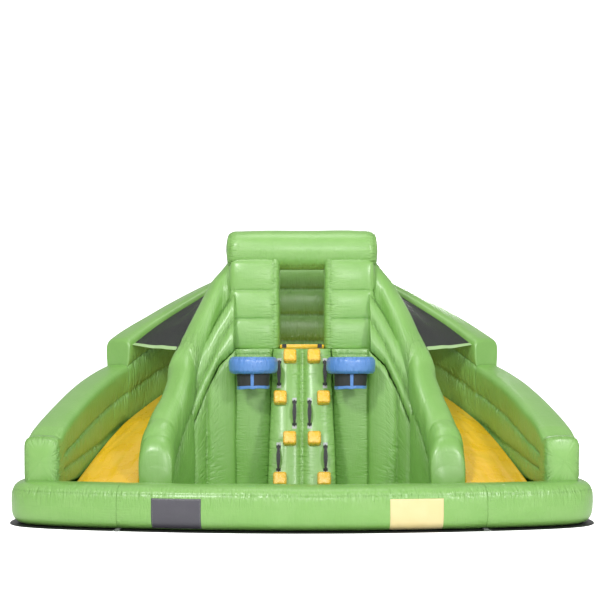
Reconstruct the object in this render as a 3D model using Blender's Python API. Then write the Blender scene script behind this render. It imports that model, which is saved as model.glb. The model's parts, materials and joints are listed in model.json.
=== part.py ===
"""Inflatable water slide with two chutes, a climbing wall and a splash pool.

Metres, +Z up, the front faces -Y. The origin is the middle of the underside.
A place is given as out (distance from the middle plane, to either side),
back (distance behind the front of the pool) and up (height over the ground).
"""

import math

import bmesh
import bpy
from mathutils import Vector

# Overall size
HALF_WIDTH = 3.0
DEPTH = 3.8
HEIGHT = 3.2

# Clearance between pieces that touch, and how far a piece reaches into the one that trims it
GAP = 0.0003
BITE = 0.03
WELD = 0.00001
MITRE_LIMIT = 2.0
SHARP_DEGREES = 40
CURVE_STEPS = 24

# Sheets on the ground
SHEET_THICKNESS = 0.003
SHEET_MARGIN = 0.015
POOL_FLOOR_THICKNESS = 0.008
POOL_FLOOR_REACH_SHARE = 0.93
POOL_FLOOR_SPACING = 0.09

# Pool wall and base tubes: one outline of the outer edge, from front middle to back middle
BASE_WIDTH = 0.42
BASE_HEIGHT = 0.44
BASE_SQUARENESS = 3.2
BASE_SECTION_POINTS = 16
BASE_ROOM_SHARE = 0.96
OUTLINE_SHARES = (
    (0.0, 0.0), (0.333, 0.012), (0.66, 0.046), (0.86, 0.082), (0.962, 0.125), (1.0, 0.2),
    (0.98, 0.32), (0.927, 0.474), (0.852, 0.605), (0.765, 0.714), (0.655, 0.81),
    (0.525, 0.893), (0.385, 0.96), (0.245, 0.994), (0.0, 1.0),
)
FRONT_SEAM_SHARE = 0.243
CORNER_SEAM_SHARE = 0.43
BACK_SEAM_SHARE = 0.885
FRONT_STATIONS = 12
CORNER_STATIONS = 10
SIDE_STATIONS = 16
BACK_STATIONS = 6
BASE_STRETCHES = (
    (0, FRONT_SEAM_SHARE, FRONT_STATIONS), (FRONT_SEAM_SHARE, CORNER_SEAM_SHARE, CORNER_STATIONS),
    (CORNER_SEAM_SHARE, BACK_SEAM_SHARE, SIDE_STATIONS), (BACK_SEAM_SHARE, 1, BACK_STATIONS),
)

# Outer walls of the chutes: middle line in plan, from the front end to the back wall
WALL_THICKNESS = 0.37
WALL_PATH_SHARES = (
    (0.884, 0.163), (0.867, 0.3), (0.834, 0.45), (0.794, 0.57), (0.745, 0.655),
    (0.652, 0.757), (0.53, 0.847), (0.412, 0.908), (0.287, 0.935),
)
WALL_STEP_SHARE = 0.52
WALL_FRONT_TOP = 0.9
WALL_STEP_TOP = 1.62
WALL_UPPER_FRONT_TOP = 1.92
WALL_BACK_TOP = 2.86
WALL_RISE_POWER = 0.93
WALL_CHANNEL = 0.34
WALL_CHANNEL_COUNT = 3
WALL_CROWN = 0.13
WALL_CROWN_SQUARENESS = 3.2
WALL_STATIONS = 10
WALL_END_SHARES = ((0.0, 0.62), (0.12, 0.82), (0.4, 0.96))
WALL_END_LENGTH = 0.14

# A line's direction is read over this share of its length, to either side
RUN_SHARE = 0.004

# Channels are drawn in at their seams by this much
SEAM_DEPTH = 0.028
ROUND_SQUARENESS = 2.0
CHANNEL_STEPS = 3
CROWN_STEPS = 5

# Wing walls between the chutes and the front
WING_FRONT_THICKNESS = 0.38
WING_BACK_THICKNESS = 0.26
WING_CROWN = 0.3
WING_CHANNEL = 0.55
WING_CHANNEL_COUNT = 2
WING_STATIONS = 14
WING_PATH_SHARES = (
    (0.52, 0.305), (0.52, 0.345), (0.503, 0.395), (0.462, 0.452), (0.448, 0.49),
    (0.4, 0.54), (0.338, 0.584), (0.287, 0.606),
)
WING_TOP_SHARES = (0.285, 0.32, 0.4, 0.51, 0.605, 0.71, 0.812, 0.89)
WING_END_SHARES = ((0.0, 0.6), (0.15, 0.84), (0.45, 0.97))
WING_END_LENGTH = 0.12

# Front panels between a hoop pillar and a wing: out, back and the heights of three slanting seams
PANEL_SHARES = (
    (0.2553, 0.506, 0.558, 0.68, 0.775),
    (0.317, 0.5, 0.503, 0.581, 0.684),
    (0.36, 0.487, 0.419, 0.494, 0.609),
    (0.4, 0.466, 0.319, 0.416, 0.538),
    (0.43, 0.44, 0.234, 0.325, 0.475),
    (0.453, 0.411, 0.166, 0.206, 0.391),
    (0.472, 0.363, 0.141, 0.163, 0.297),
)
PANEL_DEPTH = 0.31
PANEL_BACK_RISE = 0.09
PANEL_LAP = 0.034
PANEL_LEAN_SHARE = 0.22
BAY_CHANNEL_SHARES = (0.0, 0.34, 0.62, 0.84, 1.0)
BAY_STEPS = 4
BAY_BULGE = 0.045
TUBE_BULGE = 0.055
TUBE_STEPS = 4

# Middle block: climbing wall, hoop pillars and platform
BLOCK_FRONT = 2.25
CLIMB_TOP_HALF = 0.335
CLIMB_FOOT_HALF = 0.39
CLIMB_TOP_BACK = 1.95
CLIMB_FOOT_BACK = 1.4
CLIMB_BULGE = 0.035
CLIMB_GROOVE_HALF = 0.02
CLIMB_GROOVE_DEPTH = 0.022
CLIMB_ROUND = 0.05
CLIMB_STATIONS = 7
CLIMB_STEPS = 6
CLIMB_BULGE_POWER = 0.7
CLIMB_EDGE_POWER = 4
PLATFORM_TOP = 1.8
PLATFORM_HALF = 0.86
MAT_THICKNESS = 0.05
MAT_FRONT = 1.98
PILLAR_INNER = 0.33
PILLAR_SETBACK = 0.06
PILLAR_OUTER = PLATFORM_HALF - PILLAR_SETBACK
PILLAR_FRONT = 1.93
PILLAR_BULGE = 0.05
PILLAR_CROWN = 0.03
PILLAR_PULL_SHARE = 0.2
PILLAR_STEPS = 6
PILLAR_BULGE_POWER = 0.6

# Towers, beam and back wall
TOWER_INNER = 0.256
TOWER_FRONT = 2.05
TOWER_BACK = 2.5
TOWER_SEAM_UPS = (PLATFORM_TOP + GAP, 2.15, 2.48, 2.82)
TOWER_ROUND = 0.1
TOWER_ROUND_STEPS = 3
TOWER_STEPS = 4
TOWER_SEAM_DEPTH = 0.014
BEAM_HALF = 0.885
BEAM_SIZE = 0.46
BEAM_BACK = 2.28
BEAM_SQUARENESS = 2.3
BEAM_SECTION_POINTS = 18
BEAM_END_SHARES = ((0.0, 0.45), (0.03, 0.72), (0.08, 0.9), (0.16, 1.0))
BACK_WALL_THICKNESS = 0.35
BACK_WALL_LAP = 0.07
BACK_WALL_HALF = PLATFORM_HALF + BACK_WALL_LAP
BACK_WALL_TOP = 2.94
BACK_WALL_CHANNEL_COUNT = 7

# Chutes
BED_END_UP = 0.3
BED_STATIONS = 14
BED_END_SHARE = 0.09
BED_RISE_POWER = 1.12
BED_SAG = 0.02
BED_STEPS = 5
EDGE_CLEARANCE = 0.008
LINER_THICKNESS = 0.03

# Nets over the chutes
NET_THICKNESS = 0.004
NET_DROP = 0.07
NET_SAG = 0.03
NET_WALL_SHARES = (0.54, 0.95)
NET_WING_SHARES = (0.55, 0.93)
NET_STATIONS = 7
NET_STEPS = 6

# Climbing holds: out and height on the climbing wall
HOLD_SIZE = 0.148
HOLD_DEPTH = 0.11
HOLD_ROUND = 0.012
HOLD_PLACES = ((0.137, 1.7), (0.245, 1.23), (0.138, 0.78), (0.244, 0.34))

# Webbing handles on the climbing wall: out and height of the middle
HANDLE_LENGTH = 0.31
HANDLE_WIDTH = 0.04
HANDLE_END_WIDTH = 0.011
HANDLE_THICKNESS = 0.005
HANDLE_BOW = 0.055
HANDLE_BOW_POWER = 0.6
HANDLE_END_RADIUS = 0.0055
HANDLE_END_LENGTH = 0.01
HANDLE_CLEARANCE = 0.0005
HANDLE_STEPS = 12
HANDLE_PLACES = ((0.262, 1.52), (0.085, 1.07), (0.262, 0.575))

# Straps over the platform's lip
STRAP_OUT = 0.205
STRAP_WIDTH = 0.05
STRAP_THICKNESS = 0.005
STRAP_REACH = 0.12
STRAP_DROP = 0.04

# Hoops on the pillars
HOOP_OUT = 0.548
HOOP_DROP = 0.19
HOOP_UP = PLATFORM_TOP - HOOP_DROP
HOOP_OUTER = 0.275
HOOP_TUBE_HEIGHT = 0.19
HOOP_TUBE_WIDTH = 0.17
HOOP_SQUARENESS = 3.4
HOOP_SEGMENTS = 24
HOOP_SECTION_POINTS = 10
HOOP_SEAT = 0.015
HOOP_NET_DROP = 0.17
HOOP_NET_THICKNESS = 0.004
HOOP_NET_TAPER = 0.012

# Anchor tabs and rings at the front
TAB_SHARE = 0.225
TAB_WIDTH = 0.05
TAB_LENGTH = 0.05
TAB_ROOT = 0.13
TAB_BORE_STEPS = 10
TAB_THICKNESS = 0.006
TAB_UP = 0.012
TAB_SLEEVE_RADIUS = 0.0085
RING_WIRE = 0.003
RING_CLEARANCE = 0.0006
RING_HALF_WIDTH = 0.034
RING_REACH = 0.048
RING_SIDES = 8
RING_ARC_STEPS = 8
RING_ARC_POWER = 0.8

# Blower sleeve at the back
SLEEVE_OUT = 1.5
SLEEVE_RADIUS = 0.15
SLEEVE_WALL = 0.008
SLEEVE_START = 3.2
SLEEVE_BORE_START = 3.46
SLEEVE_END = 3.79
SLEEVE_SIDES = 24

# Deflation zip on the back wall
ZIP_HALF = 0.36
ZIP_HEIGHT = 0.045
ZIP_THICKNESS = 0.004
ZIP_UP = 0.93
SLIDER_LENGTH = 0.034
SLIDER_HEIGHT = 0.014
SLIDER_THICKNESS = 0.009

# Colours, linear
GREEN = (0.18, 0.56, 0.09)
YELLOW = (0.9, 0.52, 0.02)
BLUE = (0.05, 0.2, 0.68)
BLACK = (0.02, 0.02, 0.022)
STEEL = (0.6, 0.6, 0.62)

STAND = SHEET_THICKNESS + GAP
SLEEVE_UP = STAND + BASE_HEIGHT / 2
FLOOR_TOP = STAND + POOL_FLOOR_THICKNESS
INSIDE_STAND = FLOOR_TOP + GAP
SIDES = (("left", -1.0), ("right", 1.0))


def place(side, out, back, up):
    """Turn out, back and up into a point of the model."""
    return Vector((side * out, back - DEPTH / 2, up))


def catmull(padded):
    """Run a Catmull-Rom curve through all but the first and last points."""
    curve = []
    for a, b, c, d in zip(padded, padded[1:], padded[2:], padded[3:]):
        for step in range(CURVE_STEPS):
            f = step / CURVE_STEPS
            curve.append(0.5 * (2 * b + (c - a) * f + (2 * a - 5 * b + 4 * c - d) * f ** 2
                                + (3 * b - a - 3 * c + d) * f ** 3))
    return curve + [padded[-2]]


def catmull_through(points):
    """Run a fine curve through all the points."""
    return catmull([points[0] * 2 - points[1]] + points + [points[-1] * 2 - points[-2]])


def along(curve, lengths, distance):
    """Find the point at a distance along a line of points."""
    for k in range(1, len(curve)):
        if distance <= lengths[k] or k == len(curve) - 1:
            f = (distance - lengths[k - 1]) / (lengths[k] - lengths[k - 1])
            return curve[k - 1].lerp(curve[k], f)


def stretch(curve, start_share, end_share, count):
    """Give even points between two shares of a line's length."""
    lengths = [0.0]
    for a, b in zip(curve, curve[1:]):
        lengths.append(lengths[-1] + (b - a).length)
    total = lengths[-1]
    return [along(curve, lengths, total * (start_share + (end_share - start_share) * k / (count - 1)))
            for k in range(count)]


def runs(curve, start_share, end_share, count):
    """Give the unit direction of a line at even shares of its length."""
    reach = RUN_SHARE
    before = stretch(curve, start_share - reach, end_share - reach, count)
    after = stretch(curve, start_share + reach, end_share + reach, count)
    return [(b - a).normalized() for a, b in zip(before, after)]


def table_value(values, share):
    """Read a table of evenly spread values at a share of its length."""
    spot = share * (len(values) - 1)
    k = min(int(spot), len(values) - 2)
    return values[k] + (values[k + 1] - values[k]) * (spot - k)


def across(path, k):
    """Give the level direction square to a plan path at one point."""
    before, after = path[max(k - 1, 0)], path[min(k + 1, len(path) - 1)]
    run = (after - before).normalized()
    return Vector((run.y, -run.x))


def plan(shares):
    """Turn pairs of shares into out and back distances."""
    return [Vector((out * HALF_WIDTH, back * DEPTH)) for out, back in shares]


def to_platform(shares):
    """Run a fine curve through a table of shares and on to the platform's side."""
    points = plan(shares)
    points[-1].x = PLATFORM_HALF + GAP
    return catmull_through(points)


def wall_line():
    """Give the fine middle line of an outer wall."""
    return to_platform(WALL_PATH_SHARES)


def wing_line():
    """Give the fine middle line of a wing."""
    return to_platform(WING_PATH_SHARES)


def mesh_object(name, bm, colour, roughness=0.35, metallic=0.0):
    """Make one closed object with its own material from a bmesh."""
    bmesh.ops.remove_doubles(bm, verts=bm.verts, dist=WELD)
    bmesh.ops.triangulate(bm, faces=bm.faces)
    if bm.calc_volume(signed=True) < 0:
        bmesh.ops.reverse_faces(bm, faces=bm.faces)
    mesh = bpy.data.meshes.new(name)
    bm.to_mesh(mesh)
    bm.free()
    material = bpy.data.materials.new(name)
    material.use_nodes = True
    shader = material.node_tree.nodes["Principled BSDF"]
    shader.inputs["Base Color"].default_value = (*colour, 1.0)
    shader.inputs["Roughness"].default_value = roughness
    shader.inputs["Metallic"].default_value = metallic
    material.diffuse_color = (*colour, 1.0)
    mesh.materials.append(material)
    mesh.shade_smooth()
    mesh.set_sharp_from_angle(angle=math.radians(SHARP_DEGREES))
    thing = bpy.data.objects.new(name, mesh)
    bpy.context.scene.collection.objects.link(thing)
    return thing


def loft(name, rings, colour, around=False, **finish):
    """Skin rings of equal length into a closed body, capped or run round.

    The second half of each ring is split along the other diagonal, so the two
    faces of a thin sheet are split alike and stay apart.
    """
    bm = bmesh.new()
    rows = [[bm.verts.new(p) for p in ring] for ring in rings]
    size = len(rows[0])
    pairs = list(zip(rows, rows[1:]))
    if around:
        pairs.append((rows[-1], rows[0]))
    for low, high in pairs:
        for k in range(size):
            after = (k + 1) % size
            if k < size / 2:
                bm.faces.new((low[k], low[after], high[after]))
                bm.faces.new((low[k], high[after], high[k]))
            else:
                bm.faces.new((low[k], low[after], high[k]))
                bm.faces.new((low[after], high[after], high[k]))
    if not around:
        bm.faces.new(rows[0][::-1])
        bm.faces.new(rows[-1])
    return mesh_object(name, bm, colour, **finish)


def prism(name, outline, low, high, colour, **finish):
    """Extrude a plan outline, given as model X and Y, between two heights."""
    rings = [[Vector((p.x, p.y, up)) for p in outline] for up in (low, high)]
    return loft(name, rings, colour, **finish)


def grown(neighbour):
    """Copy a piece's mesh with its surface moved out by the gap."""
    bm = bmesh.new()
    bm.from_mesh(neighbour.data)
    bmesh.ops.triangulate(bm, faces=bm.faces)
    bm.normal_update()
    moves = [v.normal * GAP * min(v.calc_shell_factor(), MITRE_LIMIT) for v in bm.verts]
    for vert, move in zip(bm.verts, moves):
        vert.co += move
    mesh = bpy.data.meshes.new("cutter")
    bm.to_mesh(mesh)
    bm.free()
    return mesh


def trim(piece, *neighbours):
    """Cut away from a piece the space of its neighbours and the gap round them."""
    for neighbour in neighbours:
        cutter = bpy.data.objects.new("cutter", grown(neighbour))
        bpy.context.scene.collection.objects.link(cutter)
        cut = piece.modifiers.new("cut", "BOOLEAN")
        cut.operation = "DIFFERENCE"
        cut.solver = "EXACT"
        cut.object = cutter
        bpy.context.view_layer.update()
        graph = bpy.context.evaluated_depsgraph_get()
        mesh = bpy.data.meshes.new_from_object(piece.evaluated_get(graph))
        piece.modifiers.clear()
        mesh.name = piece.name
        piece.data = mesh
        bpy.data.objects.remove(cutter)
    tidy(piece)
    return piece


def shells(bm):
    """Sort a mesh's faces into its separate shells."""
    left = set(bm.faces)
    found = []
    while left:
        shell, stack = [], [left.pop()]
        while stack:
            face = stack.pop()
            shell.append(face)
            for other in {near for edge in face.edges for near in edge.link_faces} & left:
                left.remove(other)
                stack.append(other)
        found.append(shell)
    return found


def tidy(piece):
    """Weld what a cut leaves closer than the gap, and clear slivers off the main body."""
    bm = bmesh.new()
    bm.from_mesh(piece.data)
    bmesh.ops.triangulate(bm, faces=bm.faces)
    bmesh.ops.remove_doubles(bm, verts=bm.verts, dist=WELD)
    bmesh.ops.dissolve_degenerate(bm, edges=bm.edges, dist=WELD)
    parts = sorted(shells(bm), key=lambda shell: sum(face.calc_area() for face in shell))
    for shell in parts[:-1]:
        bmesh.ops.delete(bm, geom=shell, context="FACES")
    bm.to_mesh(piece.data)
    bm.free()


def rounded_section(width, height, squareness, count):
    """Give a rounded box of a section: distance across and height."""
    points = []
    for k in range(count):
        angle = 2 * math.pi * (k + 0.5) / count
        c, s = math.cos(angle), math.sin(angle)
        points.append((math.copysign(abs(c) ** (2 / squareness), c) * width / 2,
                       (1 + math.copysign(abs(s) ** (2 / squareness), s)) * height / 2))
    return points


def stacked_section(half, low, high, crown, channel, channels, squareness=ROUND_SQUARENESS):
    """Give a wall's section: stacked channels on both sides and a rounded crown."""
    shoulder = high - crown
    seams = [shoulder]
    for k in range(channels - 1):
        room = seams[-1] - low
        drop = channel - (crown if k == 0 else 0)
        seams.append(seams[-1] - min(drop, room / (channels - k)))
    seams.append(low)
    seams.reverse()
    side = []
    for bottom, top in zip(seams, seams[1:]):
        for step in range(CHANNEL_STEPS):
            f = step / CHANNEL_STEPS
            bulge = math.sin(math.pi * f) if top < shoulder else math.sin(math.pi / 2 * f)
            side.append((half - SEAM_DEPTH * (1 - bulge), bottom + (top - bottom) * f))
    cap = []
    for step in range(CROWN_STEPS + 1):
        across, over = math.cos(math.pi * step / CROWN_STEPS), math.sin(math.pi * step / CROWN_STEPS)
        power = 2 / squareness
        cap.append((half * math.copysign(abs(across) ** power, across), shoulder + crown * abs(over) ** power))
    return side + cap + [(-reach, up) for reach, up in reversed(side)]


def section_ring(side, centre, normal, section, spread=1.0, middle=0.0):
    """Stand a section on a plan point, scaled about a middle height."""
    ring = []
    for reach, up in section:
        spot = centre + normal * reach * spread
        ring.append(place(side, spot.x, spot.y, middle + (up - middle) * spread))
    return ring


def base_outline():
    """Give the outer edge of the base, front middle to back middle, as fine points."""
    points = plan(OUTLINE_SHARES)
    before, after = (Vector((-points[k].x, points[k].y)) for k in (1, -2))
    return catmull([before] + points + [after])


def inset(path, distance):
    """Move a plan path inward, away from its outer edge."""
    return [p - across(path, k) * distance for k, p in enumerate(path)]


def clear_of(edge, line, distance):
    """Keep well spaced points of an inset line that lie the full distance from the edge."""
    kept = [line[0]]
    for p in line[1:-1]:
        spaced = (p - kept[-1]).length > POOL_FLOOR_SPACING
        if spaced and min((p - q).length for q in edge) > distance - GAP:
            kept.append(p)
    return kept + [line[-1]]


def base_rings(side, start, end, count):
    """Give the rings of a base tube between two shares of the outline."""
    middle_line = inset(base_outline(), BASE_WIDTH / 2)
    path = stretch(middle_line, start, end, count)
    turns = runs(middle_line, start, end, count)
    section = rounded_section(BASE_WIDTH, BASE_HEIGHT, BASE_SQUARENESS, BASE_SECTION_POINTS)
    rooms = [(b - a).length / max(u.angle(v), RUN_SHARE) * BASE_ROOM_SHARE
             for a, b, u, v in zip(path, path[1:], turns, turns[1:])]
    rings = []
    for k, (point, run) in enumerate(zip(path, turns)):
        shift = 0
        room = min(rooms[max(k - 1, 0):k + 1])
        if k == 0 and start > 0:
            shift = GAP
        elif k == count - 1 and end < 1:
            shift = -GAP
        if point.x < BASE_WIDTH * RUN_SHARE:
            run = Vector((math.copysign(1.0, run.x), 0.0))
        normal = Vector((run.y, -run.x))
        spot = point + run * shift
        rings.append([place(side, *(spot + normal * max(reach, -room)), STAND + max(up, 0.0))
                      for reach, up in section])
    return rings


def base_guide(side):
    """Make one whole side of the base ring without its seams, to trim by."""
    rings = []
    for start, end, count in BASE_STRETCHES:
        rings += base_rings(side, start, end, count)
    return loft("guide", rings, GREEN)


def build_base():
    """Make the ground sheet, the pool floor and the ring of base tubes."""
    pieces = {}
    edge = base_outline()
    for name, distance, low, high in (
            ("ground_sheet", -SHEET_MARGIN, 0.0, SHEET_THICKNESS),
            ("pool_floor", BASE_WIDTH * POOL_FLOOR_REACH_SHARE, STAND, FLOOR_TOP)):
        half = clear_of(edge, inset(edge, distance), abs(distance))
        outline = [place(1, p.x, p.y, 0) for p in half[1:-1]]
        outline = ([place(1, 0, half[0].y, 0)] + outline + [place(1, 0, half[-1].y, 0)]
                   + [Vector((-p.x, p.y, 0)) for p in reversed(outline)])
        pieces[name] = prism(name, outline, low, high, BLACK if name == "ground_sheet" else GREEN)
    right = base_rings(1, 0, FRONT_SEAM_SHARE, FRONT_STATIONS)
    left = base_rings(-1, 0, FRONT_SEAM_SHARE, FRONT_STATIONS)
    pieces["pool_front_wall"] = loft("pool_front_wall", left[:0:-1] + right, GREEN)
    right = base_rings(1, BACK_SEAM_SHARE, 1, BACK_STATIONS)
    left = base_rings(-1, BACK_SEAM_SHARE, 1, BACK_STATIONS)
    pieces["back_base_tube"] = loft("back_base_tube", right + left[-2::-1], GREEN)
    for word, side in SIDES:
        for stem, start, end, count in (
                ("pool_corner", FRONT_SEAM_SHARE, CORNER_SEAM_SHARE, CORNER_STATIONS),
                ("side_base_tube", CORNER_SEAM_SHARE, BACK_SEAM_SHARE, SIDE_STATIONS)):
            name = f"{stem}_{word}"
            pieces[name] = loft(name, base_rings(side, start, end, count), GREEN)
    return pieces


def wall_top(share):
    """Give the outer wall's height at a share of its length, lower part then upper part."""
    if share <= WALL_STEP_SHARE:
        rise = (share / WALL_STEP_SHARE) ** WALL_RISE_POWER
        return WALL_FRONT_TOP + (WALL_STEP_TOP - WALL_FRONT_TOP) * rise
    rise = (share - WALL_STEP_SHARE) / (1 - WALL_STEP_SHARE)
    return WALL_UPPER_FRONT_TOP + (WALL_BACK_TOP - WALL_UPPER_FRONT_TOP) * rise


def wall_rings(side, start, end, round_front):
    """Give the rings of an outer wall between two shares of its path."""
    path = stretch(wall_line(), start, end, WALL_STATIONS)
    turns = runs(wall_line(), start, end, WALL_STATIONS)
    rings = []
    low = STAND + BASE_HEIGHT - BITE * 2
    for k, point in enumerate(path):
        share = start + (end - start) * k / (WALL_STATIONS - 1)
        run = turns[k]
        if k == WALL_STATIONS - 1 and end == 1:
            point, run = Vector((PLATFORM_HALF + GAP, point.y)), Vector((-1.0, 0.0))
        normal = Vector((run.y, -run.x))
        tip = share if start < WALL_STEP_SHARE else max(share, WALL_STEP_SHARE + GAP)
        section = stacked_section(WALL_THICKNESS / 2, low, wall_top(tip), WALL_CROWN,
                                  WALL_CHANNEL, WALL_CHANNEL_COUNT, WALL_CROWN_SQUARENESS)
        if k == 0 and round_front:
            middle = (low + wall_top(tip)) / 2
            for shift, spread in WALL_END_SHARES:
                spot = point + run * WALL_END_LENGTH * (shift - WALL_END_SHARES[-1][0])
                rings.append(section_ring(side, spot, normal, section, spread, middle))
            point = point + run * WALL_END_LENGTH * (1 - WALL_END_SHARES[-1][0])
        elif k == 0:
            point = point + run * GAP
        elif k == WALL_STATIONS - 1 and end < 1:
            point = point - run * GAP
        rings.append(section_ring(side, point, normal, section))
    return rings


def build_outer_wall(word, side, feet, back_wall):
    """Make both sections of an outer wall, standing on the base tubes."""
    lower = loft(f"outer_wall_lower_{word}", wall_rings(side, 0, WALL_STEP_SHARE, True), GREEN)
    upper = loft(f"outer_wall_upper_{word}", wall_rings(side, WALL_STEP_SHARE, 1, False), GREEN)
    trim(lower, feet)
    return trim(upper, feet, back_wall)


def wing_top(share):
    """Give the wing's height at a share of its length."""
    return HEIGHT * table_value(WING_TOP_SHARES, share)


def wing_rings(side):
    """Give the rings of a wing wall, rounded at its front end."""
    path = stretch(wing_line(), 0, 1, WING_STATIONS)
    turns = runs(wing_line(), 0, 1, WING_STATIONS)
    rings = []
    for k, (point, run) in enumerate(zip(path, turns)):
        share = k / (WING_STATIONS - 1)
        if k == WING_STATIONS - 1:
            point, run = Vector((PLATFORM_HALF + GAP, point.y)), Vector((-1.0, 0.0))
        normal = Vector((run.y, -run.x))
        section = stacked_section(wing_half(share), INSIDE_STAND, wing_top(share), WING_CROWN,
                                  WING_CHANNEL, WING_CHANNEL_COUNT)
        if k == 0:
            for shift, spread in WING_END_SHARES:
                spot = point + run * WING_END_LENGTH * (shift - 1)
                rings.append(section_ring(side, spot, normal, section, spread, INSIDE_STAND))
        rings.append(section_ring(side, point, normal, section))
    return rings


def build_climbing_wall():
    """Make the leaning climbing wall with its two broad channels and middle groove."""
    rings = []
    for k in range(CLIMB_STATIONS):
        f = k / (CLIMB_STATIONS - 1)
        up = INSIDE_STAND + (PLATFORM_TOP - GAP - INSIDE_STAND) * f
        half = CLIMB_FOOT_HALF + (CLIMB_TOP_HALF - CLIMB_FOOT_HALF) * f
        ring = [(half, BLOCK_FRONT), (half, climb_front(up) + CLIMB_ROUND)]
        for step in range(1, CLIMB_STEPS):
            share = step / CLIMB_STEPS
            ring.append((half + (CLIMB_GROOVE_HALF - half) * share, climb_front(up) + climb_crown(share)))
        ring.append((CLIMB_GROOVE_HALF, climb_front(up) + CLIMB_GROOVE_DEPTH))
        full = ring + [(-out, back) for out, back in reversed(ring)]
        rings.append([place(1, out, back, up) for out, back in full])
    return loft("climbing_wall", rings, GREEN)


def climb_front(up):
    """Give how far back the climbing wall's front lies at a height."""
    return CLIMB_FOOT_BACK + (CLIMB_TOP_BACK - CLIMB_FOOT_BACK) * up / PLATFORM_TOP


def climb_crown(share):
    """Give a channel's crown on the climbing wall, from its outer edge to the groove."""
    edge = CLIMB_BULGE * (1 - share) ** CLIMB_EDGE_POWER
    return edge - CLIMB_BULGE * math.sin(math.pi * share) ** CLIMB_BULGE_POWER


def build_pillar(word, side, climbing_wall):
    """Make one hoop pillar beside the climbing wall."""
    rings = []
    top = PLATFORM_TOP - GAP
    for up, pull in ((INSIDE_STAND, 0.0), (top - PILLAR_CROWN * 2, 0.0),
                     (top - PILLAR_CROWN, PILLAR_PULL_SHARE), (top, 1.0)):
        ring = [(PILLAR_INNER, BLOCK_FRONT)]
        for step in range(PILLAR_STEPS + 1):
            share = step / PILLAR_STEPS
            bulge = abs(math.sin(math.pi * share)) ** PILLAR_BULGE_POWER
            ring.append((PILLAR_INNER + (PILLAR_OUTER - PILLAR_INNER) * share,
                         PILLAR_FRONT + PILLAR_BULGE * (1 - bulge) + PILLAR_CROWN * pull))
        ring.append((PILLAR_OUTER, BLOCK_FRONT))
        rings.append([place(side, out, back, up) for out, back in ring])
    pillar = loft(f"hoop_pillar_{word}", rings, GREEN)
    return trim(pillar, climbing_wall)


def build_tower(word, side, beam):
    """Make one tower of three stacked channels beside the entry."""
    rings = []
    for low, high in zip(TOWER_SEAM_UPS, TOWER_SEAM_UPS[1:]):
        for step in range(TOWER_STEPS):
            share = step / TOWER_STEPS
            pull = TOWER_SEAM_DEPTH * (1 - math.sin(math.pi * share))
            rings.append(tower_ring(side, low + (high - low) * share, pull))
    rings.append(tower_ring(side, TOWER_SEAM_UPS[-1] + BITE, TOWER_SEAM_DEPTH))
    tower = loft(f"tower_{word}", rings, GREEN)
    return trim(tower, beam)


def tower_ring(side, up, pull):
    """Give a rounded outline of a tower at one height."""
    middle_out, middle_back = (TOWER_INNER + PLATFORM_HALF) / 2, (TOWER_FRONT + TOWER_BACK) / 2
    reach_out = (PLATFORM_HALF - TOWER_INNER) / 2 - pull - TOWER_ROUND
    reach_back = (TOWER_BACK - TOWER_FRONT) / 2 - pull - TOWER_ROUND
    ring = []
    for quarter, (x, y) in enumerate(((1, 1), (-1, 1), (-1, -1), (1, -1))):
        for step in range(TOWER_ROUND_STEPS + 1):
            angle = math.pi / 2 * (quarter + step / TOWER_ROUND_STEPS)
            ring.append(place(side, middle_out + x * reach_out + TOWER_ROUND * math.cos(angle),
                              middle_back + y * reach_back + TOWER_ROUND * math.sin(angle), up))
    return ring


def build_beam():
    """Make the beam over the towers, with domed ends."""
    section = rounded_section(BEAM_SIZE, BEAM_SIZE, BEAM_SQUARENESS, BEAM_SECTION_POINTS)
    low = HEIGHT - BEAM_SIZE
    half = [(BEAM_HALF * (1 - shift), spread) for shift, spread in BEAM_END_SHARES]
    stations = [(-out, spread) for out, spread in half] + [(out, spread) for out, spread in reversed(half)]
    rings = []
    for out, spread in stations:
        rings.append([place(1, out, BEAM_BACK + reach * spread,
                            low + BEAM_SIZE / 2 + (up - BEAM_SIZE / 2) * spread) for reach, up in section])
    return loft("top_beam", rings, GREEN)


def build_back_wall(guides):
    """Make the back wall of stacked channels on the back base tube."""
    front = DEPTH - SHEET_MARGIN - BACK_WALL_THICKNESS
    low = STAND + BASE_HEIGHT - BITE * 2
    section = stacked_section(BACK_WALL_THICKNESS / 2, low, BACK_WALL_TOP, WALL_CROWN,
                              WALL_CHANNEL, BACK_WALL_CHANNEL_COUNT)
    rings = [[place(1, out, front + BACK_WALL_THICKNESS / 2 + reach, up) for reach, up in section]
             for out in (-BACK_WALL_HALF, BACK_WALL_HALF)]
    wall = loft("back_wall", rings, GREEN)
    return trim(wall, *guides)


def build_core(guides):
    """Make the platform's core block."""
    back = DEPTH - SHEET_MARGIN - BACK_WALL_THICKNESS - GAP
    outline = [place(1, out, depth, 0) for out, depth in (
        (-PLATFORM_HALF, BLOCK_FRONT + GAP), (PLATFORM_HALF, BLOCK_FRONT + GAP),
        (PLATFORM_HALF, back), (-PLATFORM_HALF, back))]
    core = prism("platform_core", outline, INSIDE_STAND, PLATFORM_TOP - GAP, GREEN)
    return trim(core, *guides)


def build_mat():
    """Make the platform mat, narrow between the towers and wide behind them."""
    back = DEPTH - SHEET_MARGIN - BACK_WALL_THICKNESS - GAP
    narrow = TOWER_INNER - GAP
    step = TOWER_BACK + GAP
    half = [(narrow, MAT_FRONT), (narrow, step), (PLATFORM_HALF, step), (PLATFORM_HALF, back)]
    outline = [place(1, out, depth, 0) for out, depth in half]
    outline += [place(-1, out, depth, 0) for out, depth in reversed(half)]
    return prism("platform_mat", outline, PLATFORM_TOP, PLATFORM_TOP + MAT_THICKNESS, YELLOW)


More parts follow.
